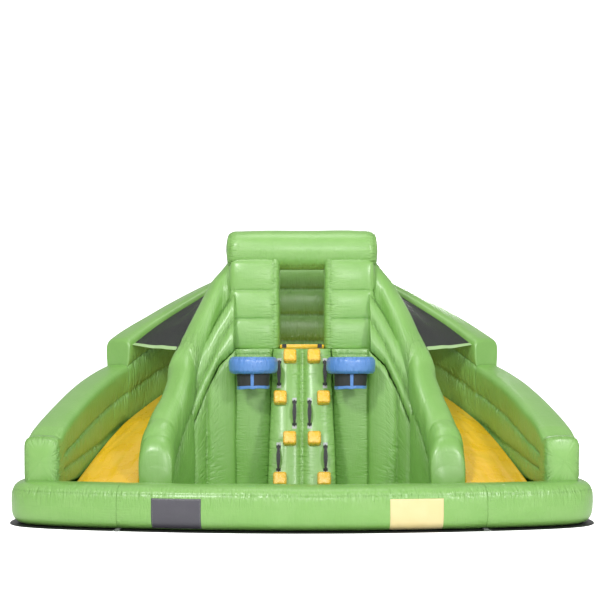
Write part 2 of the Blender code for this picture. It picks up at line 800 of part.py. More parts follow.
def panel_rows():
    """Give the front panel's columns: plan point and the three seam heights."""
    rows = []
    for out, back, low, middle, high in PANEL_SHARES:
        rows.append((Vector((out * HALF_WIDTH, back * DEPTH)), low * HEIGHT, middle * HEIGHT, high * HEIGHT))
    rows[0][0].x = PILLAR_OUTER - PANEL_LAP
    return rows


def panel_at(share):
    """Read the panel's table at a share of its columns."""
    rows = panel_rows()
    spot = share * (len(rows) - 1)
    k = min(int(spot), len(rows) - 2)
    f = spot - k
    return tuple(a + (b - a) * f for a, b in zip(rows[k], rows[k + 1]))


def bay_stations():
    """Give the share of the panel and of its own channel for each column."""
    stations = []
    for start, end in zip(BAY_CHANNEL_SHARES, BAY_CHANNEL_SHARES[1:]):
        for step in range(BAY_STEPS):
            f = step / BAY_STEPS
            stations.append((start + (end - start) * f, f))
    return stations + [(1.0, 0.0)]


def build_bay_wall(word, side, *neighbours):
    """Make the upright channels under the slanting tubes."""
    rings = []
    for share, f in bay_stations():
        spot, low, _, _ = panel_at(share)
        before = panel_at(max(share - RUN_SHARE, 0))[0]
        after = panel_at(min(share + RUN_SHARE, 1))[0]
        level = (after - before).normalized().x
        front = spot.y - BAY_BULGE * level * math.sin(math.pi * f)
        rings.append([place(side, spot.x, back, up) for back, up in (
            (front, INSIDE_STAND), (front, low - GAP),
            (spot.y + PANEL_DEPTH, low - GAP), (spot.y + PANEL_DEPTH, INSIDE_STAND))])
    wall = loft(f"bay_wall_{word}", rings, GREEN)
    return trim(wall, *neighbours)


def build_wing_tubes(word, side, *neighbours):
    """Make the two slanting tubes on the upright channels, against the wing."""
    rings = []
    for share, _ in bay_stations()[1:]:
        spot, low, middle, high = panel_at(share)
        ring = []
        for bottom, top in ((low, middle), (middle, high)):
            room = min(1.0, (top - bottom) / TUBE_BULGE / 2)
            for step in range(TUBE_STEPS):
                f = step / TUBE_STEPS
                up = bottom + (top - bottom) * f
                back = spot.y + PANEL_LEAN_SHARE * (up - low)
                ring.append((spot.x, back - TUBE_BULGE * room * math.sin(math.pi * f), up))
        ring.append((spot.x, spot.y + PANEL_LEAN_SHARE * (high - low), high))
        ring.append((spot.x, spot.y + PANEL_DEPTH, high + PANEL_BACK_RISE))
        ring.append((spot.x, spot.y + PANEL_DEPTH, low))
        rings.append([place(side, *point) for point in ring])
    tubes = loft(f"wing_tubes_{word}", rings, GREEN)
    return trim(tubes, *neighbours)


def wing_half(share):
    """Give half the wing's thickness at a share of its length."""
    return (WING_FRONT_THICKNESS + (WING_BACK_THICKNESS - WING_FRONT_THICKNESS) * share) / 2


def offset_line(line, start, end, count, reaches):
    """Give even points of a line between two shares, each moved sideways by its reach."""
    spots = stretch(line, start, end, count)
    return [spot + Vector((run.y, -run.x)) * reach
            for spot, run, reach in zip(spots, runs(line, start, end, count), reaches)]


def bed_stations():
    """Give, for each station of a chute, the inner and outer edge and the bed's height."""
    steps = [k / (BED_STATIONS - 1) for k in range(BED_STATIONS)]
    inner = offset_line(wing_line(), 0, 1, BED_STATIONS,
                        [wing_half(share) + EDGE_CLEARANCE for share in steps])
    outer = offset_line(wall_line(), BED_END_SHARE, 1, BED_STATIONS,
                        [-(WALL_THICKNESS / 2 + EDGE_CLEARANCE)] * BED_STATIONS)
    exit_out = PLATFORM_HALF + GAP
    wing_end, wall_end = plan(WING_PATH_SHARES)[-1], plan(WALL_PATH_SHARES)[-1]
    inner[-1] = Vector((exit_out, wing_end.y + wing_half(1) + EDGE_CLEARANCE))
    outer[-1] = Vector((exit_out, wall_end.y - WALL_THICKNESS / 2 - EDGE_CLEARANCE))
    rise = PLATFORM_TOP - GAP - BED_END_UP
    return [(a, b, BED_END_UP + rise * share ** BED_RISE_POWER) for a, b, share in zip(inner, outer, steps)]


def bed_ring(side, inner, outer, low, high):
    """Give one cross ring of a chute, its top a little hollow."""
    bottoms, tops = [], []
    for step in range(BED_STEPS + 1):
        f = step / BED_STEPS
        spot = inner.lerp(outer, f)
        sag = BED_SAG * math.sin(math.pi * f)
        tops.append(place(side, spot.x, spot.y, high - sag))
        bottoms.append(place(side, spot.x, spot.y, low - (sag if low > INSIDE_STAND else 0)))
    return bottoms + tops[::-1]


def build_chute(word, side, *neighbours):
    """Make a chute's bed and its liner."""
    stations = bed_stations()
    bed = loft(f"slide_bed_{word}", [bed_ring(side, i, o, INSIDE_STAND, up) for i, o, up in stations], GREEN)
    trim(bed, *neighbours)
    loft(f"slide_surface_{word}",
         [bed_ring(side, i, o, up + GAP, up + GAP + LINER_THICKNESS) for i, o, up in stations], YELLOW)


def build_chute_net(word, side, *neighbours):
    """Make the net over a chute, between the wing's top and the outer wall's top."""
    outer = stretch(wall_line(), *NET_WALL_SHARES, NET_STATIONS)
    inner = stretch(wing_line(), *NET_WING_SHARES, NET_STATIONS)
    rings = []
    for k in range(NET_STATIONS):
        f = k / (NET_STATIONS - 1)
        high = wall_top(NET_WALL_SHARES[0] + (NET_WALL_SHARES[1] - NET_WALL_SHARES[0]) * f) - NET_DROP
        low = wing_top(NET_WING_SHARES[0] + (NET_WING_SHARES[1] - NET_WING_SHARES[0]) * f) - NET_DROP
        tops = []
        for step in range(NET_STEPS + 1):
            g = step / NET_STEPS
            spot = inner[k].lerp(outer[k], g)
            tops.append((spot.x, spot.y, low + (high - low) * g - NET_SAG * math.sin(math.pi * g)))
        ring = [place(side, *p) for p in tops]
        ring += [place(side, p[0], p[1], p[2] - NET_THICKNESS) for p in reversed(tops)]
        rings.append(ring)
    net = loft(f"chute_net_{word}", rings, BLACK, roughness=0.8)
    return trim(net, *neighbours)


def climb_spot(out, up):
    """Give how far back the climbing wall's facet lies at a point, and its tilt across."""
    half = CLIMB_FOOT_HALF + (CLIMB_TOP_HALF - CLIMB_FOOT_HALF) * up / PLATFORM_TOP
    spot = CLIMB_STEPS * (half - out) / (half - CLIMB_GROOVE_HALF)
    step = int(spot)
    near, far = climb_crown(step / CLIMB_STEPS), climb_crown((step + 1) / CLIMB_STEPS)
    tilt = math.atan2(abs(far - near), (half - CLIMB_GROOVE_HALF) / CLIMB_STEPS)
    return climb_front(up) + near + (far - near) * (spot - step), tilt


def climb_frame(side, out, up, reach):
    """Give a surface point of the climbing wall and its up and outward directions there."""
    low, high = (climb_spot(out, up + shift)[0] for shift in (-reach, reach))
    upward = (place(side, out, high, up + reach) - place(side, out, low, up - reach)).normalized()
    outward = Vector((0, -upward.z, upward.y))
    return place(side, out, (low + high) / 2, up), upward, outward


def build_holds(climbing_wall):
    """Make the climbing holds, soft blocks on the climbing wall."""
    for word, side in SIDES:
        for number, (out, up) in enumerate(HOLD_PLACES, start=1):
            centre, upward, outward = climb_frame(side, out, up, HOLD_SIZE / 2)
            rings = []
            for depth, cut in ((-BITE, 0), (HOLD_DEPTH - HOLD_ROUND, 0), (HOLD_DEPTH, HOLD_ROUND)):
                half = HOLD_SIZE / 2 - cut
                rings.append([centre + outward * depth + Vector((x * half, 0, 0)) + upward * y * half
                              for x, y in ((-1, -1), (1, -1), (1, 1), (-1, 1))])
            hold = loft(f"climbing_hold_{word}_{number}", rings, YELLOW)
            trim(hold, climbing_wall)


def handle_ring(centre, outward, half_width, half_thickness):
    """Give a six-cornered ring of webbing across a handle."""
    return [centre + Vector((x * half_width, 0, 0)) + outward * y * half_thickness
            for x, y in ((-1, -0.5), (0, -1), (1, -0.5), (1, 0.5), (0, 1), (-1, 0.5))]


def build_handles():
    """Make the webbing handles, each turning about the line through its rolled ends."""
    corner = math.cos(math.pi / 6)
    half = HANDLE_LENGTH / 2
    for word, side in SIDES:
        for number, (out, up) in enumerate(HANDLE_PLACES, start=1):
            centre, upward, outward = climb_frame(side, out, up, half)
            seat = (HANDLE_END_RADIUS + HANDLE_CLEARANCE) / math.cos(climb_spot(out, up)[1])
            rolls = [handle_ring(upward * shift, outward, HANDLE_END_RADIUS * corner, HANDLE_END_RADIUS)
                     for shift in (-half, HANDLE_END_LENGTH - half, half - HANDLE_END_LENGTH, half)]
            loop = []
            for k in range(1, HANDLE_STEPS):
                share = k / HANDLE_STEPS
                rise = math.sin(math.pi * share) ** HANDLE_BOW_POWER
                spot = upward * (half - HANDLE_END_LENGTH) * (2 * share - 1) + outward * HANDLE_BOW * rise
                width = HANDLE_END_WIDTH + (HANDLE_WIDTH - HANDLE_END_WIDTH) * rise
                loop.append(handle_ring(spot, outward, width / 2, HANDLE_THICKNESS / 2))
            name = f"wall_handle_{word}_{number}"
            handle = loft(name, rolls[:2] + loop + rolls[2:], BLACK, roughness=0.8)
            handle.location = centre + outward * seat


def build_lip_straps():
    """Make the straps that run over the platform's lip."""
    face = MAT_FRONT - GAP
    skin = face - STRAP_THICKNESS
    end = MAT_FRONT + STRAP_REACH
    top = PLATFORM_TOP + MAT_THICKNESS + GAP
    crest = top + STRAP_THICKNESS
    for word, side in SIDES:
        profile = ((face, top - STRAP_DROP), (face, top), (end, top),
                   (end, crest), (skin, crest), (skin, top - STRAP_DROP))
        rings = [[place(side, out, back, up) for back, up in profile]
                 for out in (STRAP_OUT - STRAP_WIDTH / 2, STRAP_OUT + STRAP_WIDTH / 2)]
        loft(f"lip_strap_{word}", rings, BLACK, roughness=0.8)


def build_hoop(word, side, pillar):
    """Make a hoop's inflated ring and the short net that hangs from it."""
    major = HOOP_OUTER - HOOP_TUBE_WIDTH / 2
    centre = place(side, HOOP_OUT, PILLAR_FRONT - HOOP_OUTER + HOOP_SEAT, HOOP_UP)
    section = rounded_section(HOOP_TUBE_WIDTH, HOOP_TUBE_HEIGHT, HOOP_SQUARENESS, HOOP_SECTION_POINTS)
    rings, sleeve = [], []
    bottom = HOOP_UP - HOOP_TUBE_HEIGHT / 2 - GAP
    for k in range(HOOP_SEGMENTS):
        angle = 2 * math.pi * k / HOOP_SEGMENTS
        ray = Vector((math.cos(angle), math.sin(angle), 0))
        rings.append([centre + ray * (major + reach) + Vector((0, 0, up - HOOP_TUBE_HEIGHT / 2))
                      for reach, up in section])
        flat = Vector((centre.x, centre.y, 0))
        sleeve.append([flat + ray * radius + Vector((0, 0, up)) for radius, up in (
            (major, bottom), (major - HOOP_NET_TAPER, bottom - HOOP_NET_DROP),
            (major - HOOP_NET_TAPER - HOOP_NET_THICKNESS, bottom - HOOP_NET_DROP),
            (major - HOOP_NET_THICKNESS, bottom))])
    ring = loft(f"hoop_ring_{word}", rings, BLUE, around=True)
    trim(ring, pillar)
    loft(f"hoop_net_{word}", sleeve, BLACK, around=True, roughness=0.8)


def build_anchor(word, side, feet):
    """Make an anchor tab with its sleeve, and the steel ring that turns in it."""
    edge = stretch(base_outline(), TAB_SHARE, 1, 2)[0]
    out, front, root = edge.x, edge.y - TAB_LENGTH, edge.y + TAB_ROOT
    up = STAND + TAB_UP
    bore = RING_WIRE + RING_CLEARANCE
    outline = []
    for step in range(RING_SIDES + 1):
        angle = math.pi / 2 + math.pi * step / RING_SIDES
        outline.append((front + TAB_SLEEVE_RADIUS * math.cos(angle),
                        up + TAB_SLEEVE_RADIUS * math.sin(angle)))
    outline += [(front + TAB_SLEEVE_RADIUS, up - TAB_THICKNESS / 2), (root, up - TAB_THICKNESS / 2),
                (root, up + TAB_THICKNESS / 2), (front + TAB_SLEEVE_RADIUS, up + TAB_THICKNESS / 2)]
    rings = [[place(side, x, back, height) for back, height in outline]
             for x in (out - TAB_WIDTH / 2, out + TAB_WIDTH / 2)]
    tab = loft(f"anchor_tab_{word}", rings, BLACK, roughness=0.8)
    hole = [[place(side, x, front + bore * math.cos(2 * math.pi * k / TAB_BORE_STEPS),
                   up + bore * math.sin(2 * math.pi * k / TAB_BORE_STEPS)) for k in range(TAB_BORE_STEPS)]
            for x in (out - TAB_WIDTH, out + TAB_WIDTH)]
    drill = loft("drill", hole, BLACK)
    trim(tab, drill, feet)
    bpy.data.objects.remove(drill)
    path = [(RING_HALF_WIDTH, 0.0)]
    for step in range(1, RING_ARC_STEPS):
        angle = math.pi * step / RING_ARC_STEPS
        path.append((RING_HALF_WIDTH * math.cos(angle), -RING_REACH * math.sin(angle) ** RING_ARC_POWER))
    path.append((-RING_HALF_WIDTH, 0.0))
    rings = []
    for k, (x, y) in enumerate(path):
        before, after = Vector(path[k - 1]), Vector(path[(k + 1) % len(path)])
        here = Vector((x, y))
        run = ((here - before).normalized() + (after - here).normalized()).normalized()
        normal = Vector((-run.y, run.x))
        rings.append([Vector((x, y, 0)) + Vector((normal.x, normal.y, 0)) * RING_WIRE * math.cos(a)
                      + Vector((0, 0, RING_WIRE * math.sin(a)))
                      for a in (2 * math.pi * m / RING_SIDES for m in range(RING_SIDES))])
    ring = loft(f"anchor_ring_{word}", rings, STEEL, around=True, roughness=0.3, metallic=1.0)
    ring.location = place(side, out, front, up)


def build_sleeve(*neighbours):
    """Make the fabric sleeve that the blower's nozzle goes into."""
    rings = []
    for back, radius in ((SLEEVE_START, SLEEVE_RADIUS), (SLEEVE_END, SLEEVE_RADIUS),
                         (SLEEVE_END, SLEEVE_RADIUS - SLEEVE_WALL),
                         (SLEEVE_BORE_START, SLEEVE_RADIUS - SLEEVE_WALL)):
        rings.append([place(1, SLEEVE_OUT + radius * math.cos(2 * math.pi * k / SLEEVE_SIDES), back,
                            SLEEVE_UP + radius * math.sin(2 * math.pi * k / SLEEVE_SIDES))
                      for k in range(SLEEVE_SIDES)])
    sleeve = loft("blower_sleeve", rings, GREEN)
    trim(sleeve, *neighbours)


def build_zip(back_wall):
    """Make the deflation zip's tape on the back wall and its slider."""
    face = DEPTH - SHEET_MARGIN
    outline = [place(1, out, back, 0) for out, back in (
        (-ZIP_HALF, face - SEAM_DEPTH), (ZIP_HALF, face - SEAM_DEPTH),
        (ZIP_HALF, face + ZIP_THICKNESS), (-ZIP_HALF, face + ZIP_THICKNESS))]
    tape = prism("zip_tape", outline, ZIP_UP - ZIP_HEIGHT / 2, ZIP_UP + ZIP_HEIGHT / 2, BLACK, roughness=0.8)
    trim(tape, back_wall)
    start = face + ZIP_THICKNESS + GAP
    corners = ((0, 0), (SLIDER_LENGTH, 0), (SLIDER_LENGTH, SLIDER_THICKNESS), (0, SLIDER_THICKNESS))
    rings = [[Vector((x, y, z)) for x, y in corners] for z in (-SLIDER_HEIGHT / 2, SLIDER_HEIGHT / 2)]
    slider = loft("zip_slider", rings, STEEL, roughness=0.3, metallic=1.0)
    slider.location = place(-1, ZIP_HALF, start, ZIP_UP)


def main():
    """Build every piece of the slide."""
    for thing in list(bpy.data.objects):
        bpy.data.objects.remove(thing)
    build_base()
    feet = {word: base_guide(side) for word, side in SIDES}
    climbing_wall = build_climbing_wall()
    beam = build_beam()
    back_wall = build_back_wall(feet.values())
    build_core(feet.values())
    build_mat()
    build_holds(climbing_wall)
    build_handles()
    build_lip_straps()
    for word, side in SIDES:
        pillar = build_pillar(word, side, climbing_wall)
        tower = build_tower(word, side, beam)
        wing = loft(f"wing_wall_{word}", wing_rings(side), GREEN)
        trim(wing, beam)
        build_wing_tubes(word, side, wing, pillar, tower)
        build_bay_wall(word, side, wing, pillar)
        upper = build_outer_wall(word, side, feet[word], back_wall)
        build_chute(word, side, feet[word], back_wall)
        build_chute_net(word, side, wing, upper, tower, beam, back_wall)
        build_hoop(word, side, pillar)
        build_anchor(word, side, feet[word])
    build_sleeve(feet["right"], upper)
    build_zip(back_wall)
    for guide in feet.values():
        bpy.data.objects.remove(guide)


main()
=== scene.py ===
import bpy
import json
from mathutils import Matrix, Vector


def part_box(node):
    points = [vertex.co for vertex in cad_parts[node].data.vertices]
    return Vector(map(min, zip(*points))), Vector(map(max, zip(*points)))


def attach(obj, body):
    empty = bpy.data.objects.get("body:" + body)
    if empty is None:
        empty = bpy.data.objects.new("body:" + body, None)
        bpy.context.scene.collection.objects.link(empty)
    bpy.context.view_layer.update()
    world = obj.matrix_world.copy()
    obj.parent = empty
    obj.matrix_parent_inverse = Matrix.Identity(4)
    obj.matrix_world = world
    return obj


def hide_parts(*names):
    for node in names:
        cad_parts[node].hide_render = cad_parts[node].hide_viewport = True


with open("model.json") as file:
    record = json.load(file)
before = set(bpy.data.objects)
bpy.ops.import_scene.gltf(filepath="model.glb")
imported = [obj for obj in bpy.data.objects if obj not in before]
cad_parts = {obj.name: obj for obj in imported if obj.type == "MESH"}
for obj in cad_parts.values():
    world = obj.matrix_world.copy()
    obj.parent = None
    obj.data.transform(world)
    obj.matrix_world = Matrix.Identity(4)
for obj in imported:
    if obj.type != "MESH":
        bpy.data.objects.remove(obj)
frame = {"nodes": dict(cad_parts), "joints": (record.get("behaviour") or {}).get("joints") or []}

"""Finished surfaces of an inflatable garden water slide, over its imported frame."""
import json
import logging
import math
from dataclasses import dataclass
from enum import Enum

import bpy
import numpy as np
from mathutils import Vector
from mathutils.bvhtree import BVHTree

LOG = logging.getLogger("water_slide")
Array = np.ndarray

# Sizes of the whole slide, in metres, as in the part
HALF_WIDTH = 3.0
DEPTH = 3.8
HEIGHT = 3.2
SHEET_THICKNESS = 0.003
SHEET_MARGIN = 0.015
STAND = 0.0033
FLOOR_TOP = 0.0113
INSIDE_STAND = 0.0116
PLATFORM_TOP = 1.8
PLATFORM_HALF = 0.86
BASE_WIDTH = 0.42
BASE_HEIGHT = 0.44
BASE_SQUARENESS = 3.2
BASE_POINTS = 104
WALL_HALF = 0.185
WALL_ROWS = 230
WALL_STEP = 0.52
WALL_CROWN = 0.13
WALL_CHANNEL = 0.34
WING_CHANNEL = 0.55
SEAM_DEPTH = 0.028
WALL_FOOT = 0.3833

# Plan paths in shares of the half width and the depth, and heights in shares of the height
OUTLINE = (
    (0.0, 0.0), (0.333, 0.012), (0.66, 0.046), (0.86, 0.082), (0.962, 0.125), (1.0, 0.2),
    (0.98, 0.32), (0.927, 0.474), (0.852, 0.605), (0.765, 0.714), (0.655, 0.81),
    (0.525, 0.893), (0.385, 0.96), (0.245, 0.994), (0.0, 1.0),
)
WALL_PATH = (
    (0.884, 0.163), (0.867, 0.3), (0.834, 0.45), (0.794, 0.57), (0.745, 0.655),
    (0.652, 0.757), (0.53, 0.847), (0.412, 0.908), (0.287, 0.935),
)
WING_PATH = (
    (0.52, 0.305), (0.52, 0.345), (0.503, 0.395), (0.462, 0.452), (0.448, 0.49),
    (0.4, 0.54), (0.338, 0.584), (0.287, 0.606),
)
WING_TOPS = (0.285, 0.32, 0.4, 0.51, 0.605, 0.71, 0.812, 0.89)
PANELS = (
    (0.2553, 0.506, 0.558, 0.68, 0.775),
    (0.317, 0.5, 0.503, 0.581, 0.684),
    (0.36, 0.487, 0.419, 0.494, 0.609),
    (0.4, 0.466, 0.319, 0.416, 0.538),
    (0.43, 0.44, 0.234, 0.325, 0.475),
    (0.453, 0.411, 0.166, 0.206, 0.391),
    (0.472, 0.363, 0.141, 0.163, 0.297),
)

# Climbing wall, pillars, hoops, entry frame and mat, with their counts of points
GROOVE_HALF = 0.02
HANDLE_DENT = 0.002
HANDLES = ((0.262, 1.52), (0.085, 1.07), (0.262, 0.575))
HANDLE_SPAN = 0.155
CHAMBER_TOP = PLATFORM_TOP - 0.001
CLIMB_FRONT = 1.4
CLIMB_LEAN = 0.55
CLIMB_ROWS = 180
CLIMB_COLUMNS = 42
FLANK_COLUMNS = 11
PILLAR_FRONT = 1.93
PILLAR_DOME = 0.05
PILLAR_INNER = 0.33
PILLAR_OUTER = PLATFORM_HALF - 0.06
PILLAR_COLUMNS = 42
HOOP_OUT = 0.548
HOOP_REACH = 0.275
HOOP_SINK = 0.015
BEAM_BACK = 2.28
BEAM_RADIUS = 0.23
BEAM_POWER = 2.3
TOWER_INNER = 0.256
MAT_FRONT = 1.98
MAT_STAND = 0.0003
MAT_THICKNESS = 0.05

# Sizes of closing rings, counts of a front end's rings, directions and stitches
LID_SPREADS = np.array([0.985, 0.94, 0.86, 0.74, 0.6, 0.44, 0.28, 0.14, 0.03])
LID_ROWS = len(LID_SPREADS)
NOSE_ROWS = 11
FRONT_ROWS = LID_ROWS + NOSE_ROWS
STRIP_SPREADS = (0.8, 0.4)
RIGHTWARD = np.array([1.0, 0, 0])
UPWARD = np.array([0, 0, 1.0])
STITCH = (0.005, 0.0016, 0.0012)
FINE_STITCH = (0.004, 0.0011, 0.0008)
SMALL_STITCH = (0.0028, 0.0009, 0.0006)
FLAT_GATHER = 0.12


class Side(Enum):
    """The two sides of the slide, seen from the pool in front."""

    LEFT = ("left", -1.0, 0)
    RIGHT = ("right", 1.0, 1000)

    def __init__(self, word: str, sign: float, seed: int) -> None:
        """Keep the side's word in node names, its sign along X and the shift of its noise."""
        self.word, self.sign, self.seed = word, sign, seed


class Hold(Enum):
    """How a sheet is held."""

    STRETCHED = "stretched"
    LAID = "laid"
    HUNG = "hung"


def joined(*parts: Array, axis: int = 0) -> Array:
    """Join arrays end to end."""
    return np.concatenate(parts, axis=axis)


def place(sign: float, out: Array, back: Array, up: Array) -> Array:
    """Turn out, back and up into points of the model.

    Args:
        sign: The side's sign along X.
        out: Distance from the middle plane.
        back: Distance behind the front edge.
        up: Height over the ground.

    Returns:
        The points, with a last axis of three.
    """
    out, back, up = np.broadcast_arrays(*(np.asarray(v, float) for v in (out, back, up)))
    return np.stack([sign * out, back - DEPTH / 2, up], axis=-1)


def curve_through(points: Array, ends: tuple | None = None, steps: int = 24) -> Array:
    """Run a Catmull-Rom curve through all the points.

    Args:
        points: The points to pass.
        ends: Points before the first and after the last, or None to run straight on.
        steps: Points made for each stretch.

    Returns:
        The fine line.
    """
    points = np.asarray(points, float)
    before, after = ends or (2 * points[0] - points[1], 2 * points[-1] - points[-2])
    padded = np.vstack([before, points, after])
    share = (np.arange(steps) / steps)[:, None]
    line = []
    for a, b, c, d in zip(padded, padded[1:], padded[2:], padded[3:]):
        line.append(0.5 * (2 * b + (c - a) * share + (2 * a - 5 * b + 4 * c - d) * share ** 2
                           + (3 * b - a - 3 * c + d) * share ** 3))
    return np.vstack(line + [padded[-2]])


def travel(line: Array) -> Array:
    """Give the distance along a line up to each of its points."""
    return joined([0], np.cumsum(np.linalg.norm(np.diff(line, axis=0), axis=-1)))


def at_shares(line: Array, shares: Array) -> Array:
    """Read points of a line at shares of its length.

    Args:
        line: The fine line.
        shares: Shares from 0 to 1.

    Returns:
        One point for each share.
    """
    lengths = travel(line)
    where = np.clip(shares, 0, 1) * lengths[-1]
    return np.stack([np.interp(where, lengths, line[:, k]) for k in range(line.shape[1])], axis=-1)


def unit(vectors: Array) -> Array:
    """Bring vectors to unit length."""
    return vectors / np.linalg.norm(vectors, axis=-1, keepdims=True)


def runs_of(line: Array, shares: Array) -> Array:
    """Read the unit direction of a line at shares of its length, over a short reach to either side."""
    reach = 0.004
    return unit(at_shares(line, shares + reach) - at_shares(line, shares - reach))


def quarter_turn(run: Array) -> Array:
    """Turn plan directions by a quarter, outward from the slide's middle."""
    return np.stack([run[:, 1], -run[:, 0]], axis=-1)


def plan(table: tuple) -> Array:
    """Turn a table of shares into out and back distances."""
    return np.asarray(table, float) * (HALF_WIDTH, DEPTH)


def table_at(values: tuple, shares: Array) -> Array:
    """Read a table of evenly spread values smoothly at shares of its length."""
    return np.interp(shares, np.linspace(0, 1, len(values)), values)


def ramp(distance: Array, length: float) -> Array:
    """Give how far a distance has come along a length, from 0 to 1."""
    return np.clip(distance / length, 0, 1)


def ease(share: Array) -> Array:
    """Ease a share in and out between 0 and 1."""
    return share * share * (3 - 2 * share)


def fade(along: Array, length: float) -> Array:
    """Fade to nothing towards both ends of a row of distances."""
    return ease(ramp(np.minimum(along - along[0], along[-1] - along), length))


def semi(share: Array, power: float = 0.5) -> Array:
    """Give the round bulge of a channel at shares across it."""
    return np.clip(1 - (2 * share - 1) ** 2, 0, 1) ** power


def nearest(values: Array, wanted: float, barred: Array | bool = False) -> int:
    """Find which value lies nearest to the wanted one, leaving out the barred ones."""
    return int(np.argmin(np.abs(values - wanted) + barred * 9))


def circle(count: int) -> tuple[Array, Array]:
    """Give the angles of points on a level circle and the rays to them."""
    angle = 2 * math.pi * np.arange(count) / count
    return angle, np.stack([np.cos(angle), np.sin(angle), 0 * angle], axis=-1)


def squared(value: Array, power: float) -> Array:
    """Push the sine or cosine of a circle out towards a square."""
    return np.sign(value) * np.abs(value) ** (2 / power)


def lattice(x: Array, y: Array, seed: int) -> Array:
    """Give a fixed random number from -1 to 1 for each whole-number cell."""
    mixed = (x.astype(np.int64) * 374761393 + y.astype(np.int64) * 668265263 + seed * 144269504) & 0xFFFFFFFF
    mixed = ((mixed ^ (mixed >> 13)) * 1274126177) & 0xFFFFFFFF
    return ((mixed ^ (mixed >> 16)) & 0xFFFF) / 32767.5 - 1.0


def noise(x: Array, y: Array, seed: int) -> Array:
    """Give smooth value noise from -1 to 1.

    Args:
        x: First coordinate, in cells.
        y: Second coordinate, in cells.
        seed: Which noise it is.

    Returns:
        The noise at each point.
    """
    x, y = np.broadcast_arrays(x, y)
    low_x, low_y = np.floor(x), np.floor(y)
    f, g = x - low_x, y - low_y
    f, g = ease(f), ease(g)
    corners = [lattice(low_x + i, low_y + j, seed) for i in (0, 1) for j in (0, 1)]
    near = corners[0] * (1 - g) + corners[1] * g
    far = corners[2] * (1 - g) + corners[3] * g
    return near * (1 - f) + far * f


def puckers(along: Array, away: Array, pitch: float, seed: int) -> Array:
    """Give the folds that run away from a seam, in three sizes.

    Args:
        along: Distance along the seam.
        away: Distance from the seam.
        pitch: Spacing of the main folds.
        seed: Which noise it is.

    Returns:
        Fold height from about -1 to 1.
    """
    sway = 0.6 * noise(along / pitch / 4, away / pitch / 2, seed + 7)
    main = noise(along / pitch + sway, away / pitch / 6, seed)
    fine = noise(along / pitch * 2.1 + sway, away / pitch / 3, seed + 1)
    sharp = 0.7 - 2 * np.abs(noise(along / pitch * 0.9 - sway, away / pitch / 5, seed + 2)) ** 0.6
    strong = np.clip(0.55 + 1.3 * noise(along / pitch / 5, away / pitch / 3, seed + 3), 0.12, 1.3)
    return strong * (0.4 * main + 0.25 * fine + 0.45 * sharp)


@dataclass(frozen=True)
class Puff:
    """How an inflated skin is drawn in and folded at its seams.

    Attributes:
        crease: How deep the skin is drawn in at a seam.
        width: How far the crease reaches.
        fold: Height of the folds beside a seam.
        reach: How far the folds run from a seam.
        pitch: Spacing of the folds.
        sway: Height of the slow unevenness all over.
        seed: Which noise it is.
        band: How strongly the seams across the piece are drawn in.
    """

    crease: float = 0.003
    width: float = 0.008
    fold: float = 0.009
    reach: float = 0.1
    pitch: float = 0.04
    sway: float = 0.004
    seed: int = 1
    band: float = 1.0


